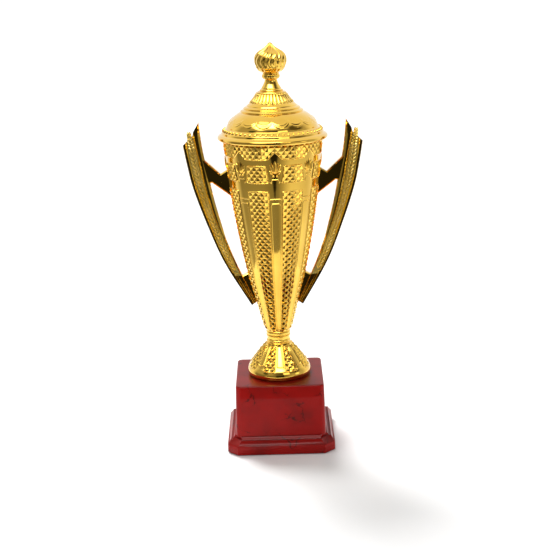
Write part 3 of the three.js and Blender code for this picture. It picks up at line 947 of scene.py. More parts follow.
        rows = max(2, round(self.length / spacing))
        downs = np.linspace(0, self.length, rows + 1)
        left = [(0.0, d) for d in downs]
        right = [(self.flute_edge(d), d) for d in downs[::-1]]
        across = np.linspace(0, 1, 9)[1:-1]
        bottom = [(self.flute_edge(self.length) * t, self.length) for t in across]
        top = [(self.flute_edge(0) * t, 0.0) for t in across[::-1]]
        add_run(left + bottom + right + top, close=True)
        for panel in self.panels:
            for a, b in self.studs_in(panel):
                add_run(np.array([a, b]))
        runs = self.frame_runs()
        for run in runs:
            # The runs end just past the sector's sides.
            keep = (run[:, 0] > -0.6) & (run[:, 0] < self.flute_edge(run[:, 1]) + 0.6)
            add_run(run[keep])
        field = np.array([
            (self.flute_edge(d) * t, d)
            for k, d in enumerate(downs[1:-1])
            for t in (across if k % 2 else np.linspace(1 / 16, 15 / 16, 8))
        ])
        clear = np.ones(len(field), bool)
        for panel in self.panels:
            clear &= ~inside(field, panel["loop"])
        for run in runs:
            clear &= distance_to(field, run) > self.RUN_CLEARANCE
        points.extend(map(tuple, field[clear]))
        return points, edges

    def triangles(self, points, edges):
        """The sector's flat points and triangles, and the middle of each triangle."""
        found = delaunay_2d_cdt([Vector(p) for p in points], edges, [], 0, 1e-5)
        flat = np.array([tuple(p) for p in found[0]])
        tris = np.array(found[2])
        centre = flat[tris].mean(1)
        tris = tris[(centre[:, 0] > 0) & (centre[:, 0] < self.flute_edge(centre[:, 1]))]
        centre = flat[tris].mean(1)
        a, b, c = (flat[tris[:, k]] for k in range(3))
        area = (b[:, 0] - a[:, 0]) * (c[:, 1] - a[:, 1]) - (b[:, 1] - a[:, 1]) * (c[:, 0] - a[:, 0])
        keep = abs(area) > 1e-5
        tris, centre, area = tris[keep], centre[keep], area[keep]
        tris[area < 0] = tris[area < 0][:, ::-1]
        flat[:, 0] = np.clip(flat[:, 0], 0, self.flute_edge(flat[:, 1]))
        return flat, tris, centre

    def smooth_normals(self, flat):
        """Which way the wall faces at each flat place when the studs are left out."""
        nudge = 0.12
        slopes = []
        for k in (0, 1):
            step = np.zeros(2)
            step[k] = nudge
            ahead, back = flat + step, flat - step
            slopes.append(
                self.place(ahead, self.smooth_lift(abs(ahead)))
                - self.place(back, self.smooth_lift(abs(back)))
            )
        normal = np.cross(slopes[1], slopes[0])
        return normal / np.linalg.norm(normal, axis=1)[:, None]

    def raised(self, flat, tris, centre):
        """The sector's solid points, and a normal for each corner: flat on studs, smooth elsewhere."""
        smooth = self.smooth_lift(flat)
        lift = smooth.copy()
        facet = np.zeros(len(tris), bool)
        for panel in self.panels:
            facet |= inside(centre, panel["loop"])
            edge_gap = distance_to(flat, panel["loop"][1:-1])
            within = inside(flat, panel["loop"]) | (edge_gap < 1e-3)
            lift = np.where(within, np.maximum(smooth, self.stud_lift(flat, panel["phase"])), lift)
        solid = self.place(flat, lift)
        corner = self.smooth_normals(flat)[tris]
        p, q, r = (solid[tris[:, k]] for k in range(3))
        plane = np.cross(r - p, q - p)
        plane /= np.maximum(np.linalg.norm(plane, axis=1), 1e-12)[:, None]
        corner[facet] = plane[facet][:, None, :]
        return solid, corner

    def build(self, spacing, turn):
        """Points, triangles and corner normals of the whole wall, from mirrored and turned sectors."""
        flat, tris, centre = self.triangles(*self.lay_out(spacing))
        solid, corner = self.raised(flat, tris, centre)
        all_points, all_tris, all_normals = [], [], []
        for sector in range(SECTORS):
            for mirror in (1, -1):
                angle = sector * 2 * HALF_SECTOR + math.radians(turn) + HALF_SECTOR
                c, s = math.cos(angle), math.sin(angle)
                spin = np.array([[c, -s, 0], [s, c, 0], [0, 0, 1]]) @ np.diag([1, mirror, 1])
                order = [0, 2, 1] if mirror > 0 else [0, 1, 2]
                all_tris.append(tris[:, order] + len(all_points) * len(solid))
                all_points.append(solid @ spin.T)
                all_normals.append(corner[:, order] @ spin.T)
        points = np.vstack(all_points)
        tris, normals = np.vstack(all_tris), np.vstack(all_normals)
        keys = np.round(points, 3)
        _, first, back = np.unique(keys, axis=0, return_index=True, return_inverse=True)
        return points[first], back.reshape(-1)[tris], normals


def close_wall(name, wall, inner, under, material, turn, spacing):
    """The studded skin closed by turned rings: inner runs from its top edge, under from its foot.

    Both end on the same circle."""
    points, tris, normals = wall.build(spacing, turn)
    good = (tris[:, 0] != tris[:, 1]) & (tris[:, 1] != tris[:, 2]) & (tris[:, 0] != tris[:, 2])
    tris, normals = tris[good], normals[good]
    mesh = bpy.data.meshes.new(name)
    top_height, low_height = wall.line[0][1], wall.line[-1][1]
    rings = []
    for height in (top_height, low_height):
        ring = np.where(abs(points[:, 2] - height) < 1e-3)[0]
        rings.append(ring[np.argsort(np.arctan2(points[ring, 1], points[ring, 0]))])
    points = list(map(tuple, points))
    faces = [tuple(map(int, t)) for t in tris]
    loops = [tuple(n) for t in normals for n in t]
    for last, outline, order in ((rings[0], inner, 1), (rings[1], under, -1)):
        angles = np.arctan2([points[i][1] for i in last], [points[i][0] for i in last])
        for radius, height in outline:
            start = len(points)
            points += [(radius * math.cos(a), radius * math.sin(a), height) for a in angles]
            for k in range(len(last)):
                n = (k + 1) % len(last)
                quad = (int(last[k]), int(last[n]), start + n, start + k)
                faces.append(quad[::order])
                loops += [(0, 0, 0)] * 4
            last = range(start, len(points))
    mesh.from_pydata((np.array(points) * MM).tolist(), [], faces)
    mesh.shade_smooth()
    mesh.set_sharp_from_angle(angle=math.radians(30))
    mesh.normals_split_custom_set(loops)
    mesh.materials.append(material)
    piece = bpy.data.objects.new(name, mesh)
    bpy.context.scene.collection.objects.link(piece)
    return piece


low, high = piece_box("pedestal_foot")
rest = low[2]
FOOT_TURN = 2.0
outside = flowing(
    [(12.7, 32.7), (14.2, 30.0), (18.2, 25.8), (22.3, 20.4), (25.4, 16.2), (28.4, 12.0)], 8
)[:-1] + flowing([(28.4, 12.0), (30.6, 9.2), (31.7, 6.6), (32.0, 4.2), (31.6, 1.8), (30.2, 0.0)], 6)
foot_wall = StuddedWall(
    [(r, rest + z) for r, z in outside],
    stud=((5.0, 5.4), (6.0, 6.6)),
    stud_height=1.15,
    frame_height=0.4,
    frame_width=0.75,
)
spot = foot_wall.spot
panel_edge = [
    (*spot(0, rest + 31.4), 0),
    (*spot(12.4, rest + 31.4), 0.5),
    (*spot(12.6, rest + 22), 0),
    (*spot(13.2, rest + 9.4), 1.8),
    (*spot(0, rest + 9.0), 0),
]
foot_wall.add_panel(rounded_run(panel_edge), 0.3)
flute_end = [
    (*spot(15.9, rest + 33), 0),
    (*spot(15.7, rest + 25), 0),
    (*spot(15.8, rest + 13.9), 1.3),
    (*spot(24.0, rest + 13.3), 0),
]
foot_wall.add_ridge(rounded_run(flute_end), 1.1, 0.55)
hollow = flowing([(12.0, 28.7), (16.4, 23.8), (23.2, 15.2), (29.4, 6.6), (29.8, 3.8), (28.6, 1.2)], 3)
top = high[2]
inner = [(11.6, top), (ROD_HOLE + 0.1, top), (ROD_HOLE + 0.1, top - 3.6), (11.0, rest + 28.8)]
inner += [(r, rest + z) for r, z in hollow] + [(29.0, rest)]
foot_piece = close_wall(
    "fluted_pedestal_foot", foot_wall, inner, [(29.0, rest)], gold, FOOT_TURN, 2.0
)
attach(foot_piece, "root")
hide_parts("pedestal_foot")


# ------------------------------------------------------------------ Stem collar
# A short spacer ring between foot and cup, moulded with two rounded beads and a groove, metallised
# like the rest and threaded on the rod.
low, high = piece_box("stem_collar")
rest, tall = low[2], high[2] - low[2]
ring_line = soft_path(
    [
        (ROD_HOLE, 0),
        (12.1, 0, 0.3),
        (12.2, 1.0, 0.5),
        (11.3, 1.5, 0.2),
        (11.3, 2.0, 0.2),
        (12.2, 2.5, 0.5),
        (12.1, 3.4, 0.5),
        (11.5, 3.8, 0.3),
        (11.6, 5.6, 4.0),
        (11.7, 7.3, 0.3),
        (12.3, 7.7, 0.4),
        (12.2, tall - 0.3, 0.3),
        (11.5, tall, 0.2),
        (ROD_HOLE, tall),
    ],
    step=0.25,
)
points, faces = turned([(r, rest + z) for r, z in ring_line], 128)
collar = make_piece("beaded_stem_collar", points, faces, gold, 30)
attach(collar, "root")
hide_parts("stem_collar")


# ------------------------------------------------------------------ Cup
# The tall tapered cup, moulded in one piece: eight smooth flutes with raised frames, eight long
# stud panels with short ones above, a studded band under the rim, and a lotus on each flute.
low, high = piece_box("cup_shell")
rest, rim = low[2], high[2]
CUP_TURN = 2.0
CUP_WALL = 1.5
FLOOR = 3.0
outside = flowing(
    [
        (47.5, 198.5),
        (47.35, 189.5),
        (45.6, 171.5),
        (42.4, 143.5),
        (37.5, 111.5),
        (33.1, 87.5),
        (28.5, 65.5),
        (24.5, 50.0),
        (20.2, 33.5),
        (15.9, 16.5),
        (13.5, 8.5),
        (12.2, 4.9),
        (12.0, 4.3),
    ],
    7,
)
cup_wall = StuddedWall(
    [(r, rest + z) for r, z in outside],
    stud=((6.3, 6.7), (5.7, 5.8)),
    stud_height=1.2,
    frame_height=0.55,
    frame_width=0.85,
)
spot = cup_wall.spot
gable = [
    (*spot(25.0, rest + 192.6), 0),
    (*spot(22.5, rest + 190.8), 0),
    (*spot(13.6, rest + 183.5), 1.8),
    (*spot(0, rest + 183.3), 0),
]
cup_wall.add_panel(rounded_run(gable), 0.0, open_top=1.2)
short_edge = [
    (*spot(0, rest + 178.2), 0),
    (*spot(12.8, rest + 178.0), 1.9),
    (*spot(13.4, rest + 171.0), 3.0),
    (*spot(15.4, rest + 161.0), 1.9),
    (*spot(0, rest + 160.6), 0),
]
cup_wall.add_panel(rounded_run(short_edge), 0.6)
long_edge = [
    (*spot(0, rest + 153.4), 0),
    (*spot(14.8, rest + 152.8), 2.0),
    (*spot(14.3, rest + 140), 20),
    (*spot(14.3, rest + 110), 40),
    (*spot(14.6, rest + 60), 40),
    (*spot(15.2, rest + 30), 20),
    (*spot(16.0, rest + 6.4), 0.8),
    (*spot(0, rest + 6.2), 0),
]
cup_wall.add_panel(rounded_run(long_edge), 0.2)
upper_rib = [(*spot(15.6, rest + 145.3), 0), (*spot(24, rest + 145.3), 0)]
cup_wall.add_ridge(rounded_run(upper_rib), 1.3, 0.5)
flute_frame = [
    (*spot(24.0, rest + 140.9), 0),
    (*spot(16.3, rest + 140.9), 1.8),
    (*spot(16.2, rest + 110), 40),
    (*spot(16.8, rest + 60), 40),
    (*spot(18.0, rest + 30), 20),
    (*spot(19.6, rest + 5.6), 0),
]
cup_wall.add_ridge(rounded_run(flute_frame), 0.9, 0.42)
bar = [
    (*spot(24.0, rest + 164.6), 0),
    (*spot(18.2, rest + 164.6), 1.2),
    (*spot(17.4, rest + 162.6), 0),
]
cup_wall.add_ridge(rounded_run(bar), 0.8, 0.4)
floor_height = rest + FLOOR
hollow = [(r - CUP_WALL, rest + z) for r, z in outside[::4] if z > 6]
bore = [(ROD_HOLE, floor_height), (ROD_HOLE, rest)]
inner = [(46.2, rim)] + hollow[1:] + [(11.0, floor_height)] + bore
base_ring = soft_path(
    [
        (12.0, 4.3),
        (11.6, 3.9, 0.2),
        (12.25, 3.4, 0.4),
        (12.3, 1.0, 0.5),
        (11.6, 0.6, 0.2),
        (11.6, 0),
        (ROD_HOLE, 0),
    ],
    closed=False,
    step=0.3,
)
under = [(r, rest + z) for r, z in base_ring[1:]]
cup = close_wall("studded_cup", cup_wall, inner, under, gold, CUP_TURN, 2.6)
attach(cup, "root")
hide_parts("cup_shell")


def leaf(root, tip, width, crown, vein=0.3, round_ends=False, ribs=8):
    """A leaf lying flat from root to tip: its edge sunk, its two halves raised, a vein between.

    Gives (across, down, height) points and faces. With round_ends it is a plain oblong bead."""
    root, tip = np.array(root, float), np.array(tip, float)
    way = tip - root
    side = np.array([way[1], -way[0]]) / np.hypot(*way)
    section = [(-1, 0), (-0.6, 0.72), (-0.14, 1), (0, 1 - vein), (0.14, 1), (0.6, 0.72), (1, 0)]
    points = [(*root, -0.3)]
    for k in range(1, ribs):
        t = k / ribs
        full = math.sqrt(1 - (2 * t - 1) ** 2) if round_ends else math.sin(math.pi * t**0.8) ** 0.8
        middle = root + way * t
        for across, rise in section:
            points.append((*(middle + side * across * full * width / 2), crown * rise * full**0.7 - 0.1))
        points.append((*middle, -0.5))
    points.append((*tip, -0.3))
    ring = len(section) + 1
    faces = []
    for j in range(ring):
        n = (j + 1) % ring
        faces.append((0, 1 + n, 1 + j))
        for k in range(ribs - 2):
            a, b = 1 + k * ring, 1 + (k + 1) * ring
            faces.append((a + j, a + n, b + n, b + j))
        last = 1 + (ribs - 2) * ring
        faces.append((last + j, last + n, len(points) - 1))
    return np.array(points), faces


def gathered(parts):
    """Several (points, faces) pairs as one."""
    points, faces = [], []
    start = 0
    for some_points, some_faces in parts:
        points.append(np.asarray(some_points, float))
        faces += [tuple(start + int(i) for i in f) for f in some_faces]
        start += len(some_points)
    return np.vstack(points), faces


# The lotus on each flute: a tall middle petal, two pairs of petals fanning out and a calyx below,
# moulded with the cup and standing about a millimetre proud.
# Each petal: the angle and height of its root and of its tip, its width and its rise.
petals = [
    (22.5, 169.6, 22.5, 183.4, 4.6, 1.5),
    (20.6, 170.6, 15.4, 179.6, 3.2, 1.1),
    (21.4, 170.0, 18.4, 181.4, 2.8, 1.2),
    (20.2, 169.4, 15.2, 173.6, 2.6, 0.9),
    (21.6, 168.6, 18.0, 167.0, 2.2, 0.8),
]
parts = []
for degrees, height, tip_degrees, tip_height, width, crown in petals:
    for mirror in (1, -1):
        if mirror < 0 and tip_degrees == 22.5:
            continue
        root = cup_wall.spot(degrees, rest + height)
        tip = cup_wall.spot(tip_degrees, rest + tip_height)
        blade, faces = leaf(root, tip, width, crown)
        flat = cup_wall.place(blade[:, :2], blade[:, 2])
        angle = np.arctan2(flat[:, 1], flat[:, 0]) - HALF_SECTOR
        reach = np.hypot(flat[:, 0], flat[:, 1])
        for sector in range(SECTORS):
            aim = mirror * angle + sector * 2 * HALF_SECTOR + math.radians(CUP_TURN)
            spun = np.stack([reach * np.cos(aim), reach * np.sin(aim), flat[:, 2]], 1)
            parts.append((spun, faces))
points, faces = gathered(parts)
lotus = make_piece("lotus_relief", points, faces, gold, 40)
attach(lotus, "root")


# ------------------------------------------------------------------ Handles
# Two lyre handles, each moulded in one piece and the same on both faces: a flat outer rail, a
# sunk strip with a laurel and an ear of wheat, a flat inner rail, a forked strut and a foot.
# Each is held by two studs through the cup's wall, with a flange nut inside.
low, high = piece_box("right_handle")
rest = low[2]
THICK = high[1]


def edge_line(knots):
    """A smooth line given by (height, distance out) knots, as a function of height."""
    line = np.array(flowing(sorted(knots), 12))
    return lambda height: np.interp(height, line[:, 0], line[:, 1])


# From the outer edge to the inner one: the heights at which each line is set out, how far out it
# runs there and at its upper end, where that end is, and how far the surface stands off the
# middle plane.
OUTER_MARKS = (0, 44.5, 84.9, 119.5, 144)
INNER_MARKS = (0, 34.5, 58.5, 88.5, 118.5, 158.5)
CREST_MARKS = (0, 30.8, 64.5, 84.9, 105, 122.1, 156.5)
LINES = [
    (OUTER_MARKS, (25.9, 51.6, 67.8, 79.2, 84.4, 87.5), 162.1, 3.2),
    (OUTER_MARKS, (25.4, 51.0, 67.2, 78.6, 83.8, 86.9), 162.7, 5.0),
    (OUTER_MARKS, (23.6, 49.2, 65.2, 76.4, 81.4, 85.0), 164.5, 5.0),
    (OUTER_MARKS, (23.0, 48.4, 63.8, 75.0, 80.6, 83.6), 165.7, 3.3),
    (INNER_MARKS, (19.0, 37.0, 47.3, 58.8, 67.6, 74.9, 77.6), 171.0, 3.3),
    (INNER_MARKS, (18.6, 36.6, 46.8, 57.8, 65.6, 73.6, 76.6), 175.5, 5.0),
    (INNER_MARKS, (18.2, 36.3, 46.5, 56.5, 63.6, 71.6, 72.0), 183.0, 5.0),
    (INNER_MARKS, (17.8, 35.9, 45.5, 54.6, 61.6, 69.0, 71.5), 184.2, 4.3),
    (CREST_MARKS, (17.0, 34.0, 47.4, 53.0, 58.2, 61.6, 68.1, 71.3), 184.9, 3.7),
]
STRIP_FOOT, STRIP_TOP = 31.0, 171.0
OUTER_BED, INNER_BED = 3, 4
RAIL_FACE, BED_FACE = 5.0, 3.3
lines = [edge_line(zip((*marks, end), outs)) for marks, outs, end, _ in LINES]


def loft(rows):
    """A closed solid through rows of (out, height, half thickness), the same in front and behind."""
    points, faces = [], []
    wide = len(rows[0])
    ring = 2 * wide
    for row in rows:
        points += [(x, -y, z) for x, z, y in row]
        points += [(x, y, z) for x, z, y in reversed(row)]
    for i in range(len(rows) - 1):
        for j in range(ring):
            n = (j + 1) % ring
            faces.append((i * ring + j, i * ring + n, (i + 1) * ring + n, (i + 1) * ring + j))
    for base in (0, (len(rows) - 1) * ring):
        far = base + ring - 1
        faces += [(base + j, base + j + 1, far - 1 - j, far - j) for j in range(wide - 1)]
    return points, faces


def main_rails():
    """Both rails with the sunk strip between them, from the strip's foot to the upper ends."""
    rows = []
    for k in range(61):
        share = k / 60
        row = []
        for line, (_, _, end, half) in zip(lines, LINES):
            height = end + (STRIP_FOOT - end) * share
            row.append((float(line(height)), rest + height, half))
        rows.append(row)
    return loft(rows)


def tail():
    """Below the leaves: the outer rail, a thin ridge between two grooves, and the inner rail."""
    section = [
        (0, 3.4), (0.05, 5.0), (0.30, 5.0), (0.36, 4.2), (0.50, 4.2), (0.55, 4.8),
        (0.60, 4.2), (0.76, 4.2), (0.81, 4.7), (0.94, 4.7), (1.0, 3.4),
    ]
    inner = edge_line([(3.1, 20.7), (19, 28.6), (30.8, 34.0), (36, 36.4)])
    rows = []
    for k in range(25):
        share = k / 24
        out_height = 34.0 * (1 - share)
        in_height = 33.0 + (3.1 - 33.0) * share
        a = np.array([float(lines[0](out_height)), rest + out_height])
        b = np.array([float(inner(in_height)), rest + in_height])
        rows.append([(*(a + (b - a) * t), half) for t, half in section])
    return loft(rows)


def bevelled_plate(outline, half, bevel):
    """A flat plate with its rim bevelled on both faces. outline runs anticlockwise."""
    shape = np.array(outline, float)
    before, after = shape - np.roll(shape, 1, 0), np.roll(shape, -1, 0) - shape
    before /= np.hypot(*before.T)[:, None]
    after /= np.hypot(*after.T)[:, None]
    inward = np.stack([-(before + after)[:, 1], (before + after)[:, 0]], 1)
    inward /= np.hypot(*inward.T)[:, None]
    inward /= np.maximum((inward * np.stack([-after[:, 1], after[:, 0]], 1)).sum(1), 0.35)[:, None]
    inset = shape + inward * bevel
    count = len(shape)
    points = []
    for ring, y in ((inset, -half), (shape, -half + bevel), (shape, half - bevel), (inset, half)):
        points += [(x, y, z) for x, z in ring]
    faces = [tuple(range(count)), tuple(reversed(range(3 * count, 4 * count)))]
    for i in range(3):
        for j in range(count):
            n = (j + 1) % count
            faces.append((i * count + j, (i + 1) * count + j, (i + 1) * count + n, i * count + n))
    return points, faces


def strut():
    """The forked strut, whose ends are buried in the inner rail and in the cup's wall."""
    outline = [
        (39, 108.9), (60.5, 125.2), (64.5, 124.0), (70.5, 152), (66.5, 147.3), (51.8, 133.5), (39, 141.5),
    ]
    return bevelled_plate([(x, rest + z) for x, z in outline], THICK - 0.3, 1.1)


def foot_plate():
    """The plate at the lower end, which lies against the cup."""
    outline = [(16, 5.6), (21.5, 2.8), (30, 17), (35.6, 29.4), (28.4, 33.4), (16, 33.6)]
    return bevelled_plate([(x, rest + z) for x, z in outline], 3.9, 0.9)


# How far apart the pairs lie, and a leaf's length, width and rise: laurel below, the ear above.
LAUREL_PITCH, LAUREL_LEAF = 3.9, (6.6, 2.1, 1.4)
EAR_PITCH, EAR_GRAIN = 2.7, (4.2, 2.5, 1.5)
EAR_LENGTH = 14.5


def laurel():
    """Leaf pairs along the sunk strip, thinning to an ear of wheat at the top."""
    fine = np.linspace(STRIP_FOOT + 4.5, STRIP_TOP, 400)
    spine = np.stack([(lines[OUTER_BED](fine) + lines[INNER_BED](fine)) / 2, fine], 1)
    spine[:, 0] += np.clip((fine - 158) / 14, 0, 1) * 0.4
    along_spine = np.concatenate([[0], np.cumsum(np.hypot(*np.diff(spine, axis=0).T))])
    room = (lines[OUTER_BED](fine) - lines[INNER_BED](fine)) / 2
    way = np.gradient(spine, along_spine, axis=0)

    def at(distance):
        spot = [np.interp(distance, along_spine, spine[:, k]) for k in (0, 1)]
        aim = [np.interp(distance, along_spine, way[:, k]) for k in (0, 1)]
        return np.array(spot), np.array(aim), float(np.interp(distance, along_spine, room)) * 0.92

    parts = []
    reached, ear_start = 0.5, along_spine[-1] - EAR_LENGTH
    while reached < along_spine[-1] + 1.0:
        in_ear = reached > ear_start
        pitch = EAR_PITCH if in_ear else LAUREL_PITCH
        long, wide, crown = EAR_GRAIN if in_ear else LAUREL_LEAF
        spot, aim, half = at(min(reached, along_spine[-1]))
        if in_ear:
            half = min(half, 3.5 * (1 - 0.55 * ((reached - ear_start) / 15) ** 2))
        side = np.array([aim[1], -aim[0]])
        for mirror in (1, -1):
            root = spot + side * mirror * 0.25
            tip = spot + side * mirror * (half - 0.35) + aim * math.sqrt(max(long**2 - half**2, 4))
            parts.append(leaf(root, tip, wide, crown, vein=0.0))
        reached += pitch
    parts.append(leaf(spine[0], spine[-1] + way[-1] * 1.5, 0.9, 1.2, 0.0, ribs=60))
    points, faces = gathered(parts)
    front = np.stack([points[:, 0], -(BED_FACE + points[:, 2]), rest + points[:, 1]], 1)
    back = front * [1, -1, 1]
    return gathered([(front, faces), (back, faces)])


# The same metallised ABS over a sparked mould face: its fine grain, about 0.3 mm, breaks the
# mirror up, so the laurel looks paler and duller than the rails.
satin, tree, shader, place = start_finish("abs_metallised_on_spark_grain")
SPARK, WORN = 0.3, 9.0
grain = node(tree, "TexNoise", {"Vector": place, "Scale": 1 / (SPARK * MM), "Detail": 2.0})
worn = node(tree, "TexNoise", {"Vector": place, "Scale": 1 / (WORN * MM), "Detail": 3.0})
shade = node(
    tree,
    "ValToRGB",
    {"Fac": worn.outputs[0], "stops": [(0.3, colour("#e6ca68")), (0.7, colour("#f8e08e"))]},
)
sparked = node(tree, "Bump", {"Height": grain.outputs[0], "Strength": 0.25, "Distance": 0.06 * MM})
tree.links.new(shade.outputs[0], shader.inputs["Base Color"])
tree.links.new(sparked.outputs[0], shader.inputs["Normal"])
shader.inputs["Metallic"].default_value = 1.0
shader.inputs["Roughness"].default_value = 0.34

points, faces = gathered([main_rails(), tail(), strut(), foot_plate(), laurel()])
for side, facing in (("right", 1), ("left", -1)):
    handle = make_piece(f"{side}_laurel_handle", points * [facing, facing, 1], faces, gold, 22)
    handle.data.materials.append(satin)
    for face in handle.data.polygons:
        out, height = abs(face.center.x) / MM, face.center.z / MM - rest
        in_strip = lines[INNER_BED](height) - 0.4 < out < lines[OUTER_BED](height) + 0.6
        if in_strip and height > STRIP_FOOT and abs(face.center.y) < (RAIL_FACE - 0.05) * MM:
            face.material_index = 1
    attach(handle, "root")
    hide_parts(f"{side}_handle")
    for level in ("upper", "lower"):
        for part in ("stud", "nut"):
            dress(f"handle_{part}_{side}_{level}", zinc)


# ------------------------------------------------------------------ Locating ring
# A plain band pushed up inside the lid, which centres it in the cup's mouth. It isn't metallised,
# and six thin ribs moulded on its outside grip the cup.

# ABS, moulded and left bare: ivory, slightly milky, with fine flow lines round the ring.
natural, tree, shader, place = start_finish("natural_abs_moulded")
STREAK = 1.5
flow = node(tree, "Mapping", {"Vector": place, "Scale": (0.15, 0.15, 1.0)})
streaks = node(
    tree, "TexNoise", {"Vector": flow.outputs[0], "Scale": 1 / (STREAK * MM), "Detail": 3.0}
)
shade = node(
    tree,
    "ValToRGB",
    {"Fac": streaks.outputs[0], "stops": [(0.3, colour("#d9d3c0")), (0.7, colour("#e6e1d2"))]},
)
tree.links.new(shade.outputs[0], shader.inputs["Base Color"])
shader.inputs["Roughness"].default_value = 0.42
shader.inputs["Subsurface Weight"].default_value = 0.1
shader.inputs["Subsurface Scale"].default_value = 1.0 * MM
low, high = piece_box("lid_locating_ring")
radius, rest, tall = high[0], low[2], high[2] - low[2]
RING_WALL = 2.2
RIBS = 6


def grip_rib(angle, r, z):
    """Six narrow ribs on the ring's outside."""
    gap = abs((angle * RIBS / (2 * math.pi) + 0.5) % 1 - 0.5) * 2 * math.pi / RIBS * radius
    outer = (r > radius - 0.8) & (z > rest + 1.0)
    return np.where(outer, 0.28 * np.clip(1.2 - gap, 0, 1), 0.0)


section = soft_path(
    [
        (radius - RING_WALL, rest, 0.3),
        (radius - 0.7, rest, 0.2),
        (radius - 0.35, rest + 1.4, 0.3),
        (radius - 0.35, rest + tall, 0.1),
        (radius - RING_WALL, rest + tall, 0.1),
    ],
    step=0.3,
)
points, faces = turned(section, 360, grip_rib)
ring = make_piece("locating_ring", points, faces, natural, 30)
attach(ring, "lid_ring")
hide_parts("lid_locating_ring")


# ------------------------------------------------------------------ Lid
# The domed lid, moulded and metallised: a broad rolled lip, a ring of slanted beads, a dome with
# hanging swags, two turned steps, and a crown of tongue-shaped petals under the finial.
low, high = piece_box("lid_shell")
rest = low[2]
PETALS = 30
SWAGS = 16
KNOT_RADIUS, KNOT_HEIGHT = 41, 20.6
PEARL_HEIGHT = 44.3
PETAL_FOOT, PETAL_TOP = 34.8, 43.6


def share_of(angle, count):
    """How far each angle lies from the middle of its own share of the circle, from -1 to 1."""
    return ((angle * count / (2 * math.pi)) % 1) * 2 - 1


def bump(gap, width):
    """A round rise over a gap of 0, which ends at width."""
    return np.sqrt(np.clip(1 - (gap / width) ** 2, 0, 1))


def lid_relief(angle, r, z):
    """The crown's petals, the dome's two rows of swags and their knots, and the crown's pearls."""
    height = z - rest
    outside = height > lid_inside(r) + 0.8
    petal = share_of(angle, PETALS)
    start = PETAL_FOOT + 2.0 * petal**2
    tongue = np.clip((height - start) / 0.7, 0, 1) * np.clip((PETAL_TOP - height) / 0.5, 0, 1)
    lift = 0.85 * np.sqrt(tongue) * bump(petal, 1.0)
    swag = share_of(angle, SWAGS)
    for low_point, rise in ((15.6, 4.0), (17.8, 3.2)):
        line = low_point + rise * abs(swag) ** 2.2
        lift = np.maximum(lift, 0.26 * bump(height - line, 0.7))
    knot = np.hypot((abs(swag) - 1) * math.pi * KNOT_RADIUS / SWAGS, (height - KNOT_HEIGHT) * 1.35)
    lift = np.maximum(lift, 0.3 * bump(knot, 1.5))
    pearls = share_of(angle, 3 * PETALS)
    lift = np.maximum(lift, 0.3 * bump(np.hypot(pearls * 0.5, height - PEARL_HEIGHT), 0.55))
    return np.where(outside, lift, 0.0)


under = [
    (2.4, 40.7), (12.6, 40.7), (15.0, 38.1), (21.6, 31.3), (28.6, 25.5), (35.0, 20.3), (39.6, 14.7),
    (43.0, 9.7), (43.2, 1.0), (51.2, 0.9), (51.4, 0.0),
]


def lid_inside(r):
    """The height of the lid's inner face, which keeps the relief on the outer one."""
    line = np.array(under[1:8])
    return np.where(r < 44, np.interp(r, line[:, 0], line[:, 1]), 0.8)


lip = soft_path(
    [
        (51.4, 0.0),
        (52.9, 0.0, 0.7),
        (53.7, 1.3, 1.0),
        (53.6, 3.3, 1.6),
        (51.6, 5.0, 1.4),
        (49.9, 5.8, 0.6),
        (49.5, 7.6, 0.8),
        (45.6, 10.9, 0.5),
        (45.0, 11.2),
    ],
    closed=False,
    step=0.3,
)
dome = flowing(
    [(44.8, 11.5), (44.2, 13.4), (42.6, 16.4), (40.0, 19.6), (36.6, 22.7), (33.2, 25.0), (31.0, 26.1)], 9
)
steps = soft_path(
    [
        (31.0, 26.1),
        (30.5, 26.2, 0.3),
        (30.4, 26.8, 0.3),
        (30.9, 27.4, 0.5),
        (28.6, 28.9, 0.9),
        (27.7, 28.8, 0.3),
        (27.5, 29.5, 0.3),
        (27.9, 30.1, 0.5),
        (25.6, 31.6, 0.9),
        (24.7, 31.6, 0.3),
        (24.2, 32.6, 0.8),
        (22.6, 33.9),
    ],
    closed=False,
    step=0.3,
)
crown = flowing([(22.4, 34.1), (20.2, 35.8), (17.9, 38.4), (15.9, 41.2), (14.6, 43.6), (14.3, 44.6)], 7)
top = soft_path(
    [(14.3, 44.7), (14.2, 45.1, 0.3), (12.9, 45.1, 0.3), (12.6, 42.7), (2.4, 42.7), (2.4, 40.7)],
    closed=False,
    step=0.3,
)
outline = [(51.4, 0.0)] + lip[1:] + dome + steps[1:] + crown + top[1:] + under[1:]
outline = [(r, rest + z) for r, z in outline]
parts = [turned(outline, 480, lid_relief)]
# The beads lie on the slope inside the lip: slope runs up it, stand away from it.
BEADS = 56
bead_radius, bead_height = 47.5, rest + 9.4
slope = np.array([-0.77, 0.64])
stand = np.array([0.64, 0.77])
blade, faces = leaf((-1.35, -1.75), (1.35, 1.75), 2.5, 1.15, 0.0, round_ends=True)
for k in range(BEADS):
    aim = 2 * math.pi * k / BEADS + blade[:, 0] / bead_radius
    reach = bead_radius + slope[0] * blade[:, 1] + stand[0] * blade[:, 2]
    height = bead_height + slope[1] * blade[:, 1] + stand[1] * blade[:, 2]
    parts.append((np.stack([reach * np.cos(aim), reach * np.sin(aim), height], 1), faces))
points, faces = gathered(parts)
lid = make_piece("domed_lid", points, faces, gold, 40)
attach(lid, "lid")
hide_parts("lid_shell")


# ------------------------------------------------------------------ Finial
# Two mouldings threaded on one screw from inside the lid: a turned stem with two steps and a
# lobed ring, and an onion bud whose twisted lobes run together at the tip.
low, high = piece_box("finial_stem")
rest = low[2]
LOBES = 16
RING_HEIGHT = 17.2


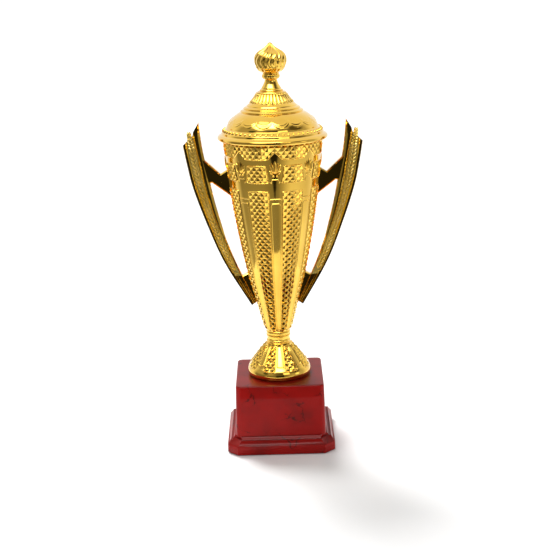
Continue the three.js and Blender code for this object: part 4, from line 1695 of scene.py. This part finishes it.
def ring_lobes(angle, r, z):
    """Shallow lobes round the stem's upper ring."""
    band = np.clip(1 - abs(z - rest - RING_HEIGHT) / 2.0, 0, 1)
    return np.where(r > 3, 0.35 * band * (abs(np.cos(angle * LOBES / 2)) - 0.6), 0.0)


stem_line = soft_path(
    [
        (2.3, 0.0),
        (11.3, 0.0, 0.3),
        (12.1, 1.0, 0.8),
        (12.0, 2.6, 0.5),
        (11.3, 3.0, 0.2),
        (11.6, 3.7, 0.5),
        (11.0, 4.8, 0.6),
        (9.7, 5.1, 0.2),
        (9.5, 6.2, 0.5),
        (8.6, 7.6, 2.0),
        (7.3, 9.9, 6.0),
        (6.3, 12.4, 4.0),
        (6.2, 13.6, 0.6),
        (6.6, 14.2, 0.3),
        (7.9, 14.8, 0.9),
        (8.7, 16.6, 1.0),
        (8.6, 18.4, 0.9),
        (7.9, 19.2, 0.4),
        (7.9, 20.0),
        (2.3, 20.0),
    ],
    step=0.28,
)
points, faces = turned([(r, rest + z) for r, z in stem_line], 168, ring_lobes)
stem = make_piece("turned_finial_stem", points, faces, gold, 35)
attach(stem, "lid")
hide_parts("finial_stem")

low, high = piece_box("finial_bud")
rest, tall = low[2], high[2] - low[2]
# The lobes lean one way above BEND, a share of the bud's height, and back again below it.
BEND = 0.36
TWIST_ABOVE, TWIST_BELOW = math.radians(36), math.radians(15)
LOBE_DEPTH = 1.6


def bud_lobes(angle, r, z):
    """Grooves between the twisted lobes, and a row of small leaves round the bud's foot."""
    share = (z - rest) / tall
    above = np.clip((share - BEND) / (1 - BEND), 0, 1)
    below = np.clip((BEND - share) / BEND, 0, 1)
    twisted = angle - TWIST_ABOVE * above**1.3 - TWIST_BELOW * below**1.3
    lobe = abs(np.sin(twisted * LOBES / 2))
    upper = np.clip((share - 0.17) / 0.09, 0, 1)
    depth = np.minimum(LOBE_DEPTH, 0.13 * r) * upper
    lift = depth * (lobe**0.8 - 1)
    scale = share_of(angle + math.pi / LOBES, LOBES)
    end = 0.25 - 0.10 * scale**2
    small = np.clip((share - 0.03) / 0.05, 0, 1) * np.clip((end - share) / 0.035, 0, 1)
    lift = np.maximum(lift, -0.9 + (1.25 + 0.25 * share) * np.sqrt(small) * bump(scale, 1.02))
    return np.where(r > 2.6, lift, 0.0)


bud_line = flowing(
    [
        (8.0, 0.0),
        (10.9, 1.9),
        (13.7, 5.6),
        (15.3, 9.2),
        (15.8, 12.0),
        (15.5, 14.9),
        (14.2, 17.8),
        (11.9, 20.3),
        (8.7, 22.4),
        (6.0, 24.0),
        (3.9, 25.8),
        (2.6, 27.2),
        (1.5, 28.4),
        (0.02, tall),
    ],
    7,
)
bud_line = [(0.02, 0.0)] + bud_line
points, faces = turned([(r, rest + z) for r, z in bud_line], 280, bud_lobes)
bud = make_piece("twisted_bud", points, faces, gold, 60)
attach(bud, "lid")
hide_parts("finial_bud")

for name in ("finial_washer", "finial_screw"):
    dress(name, zinc)
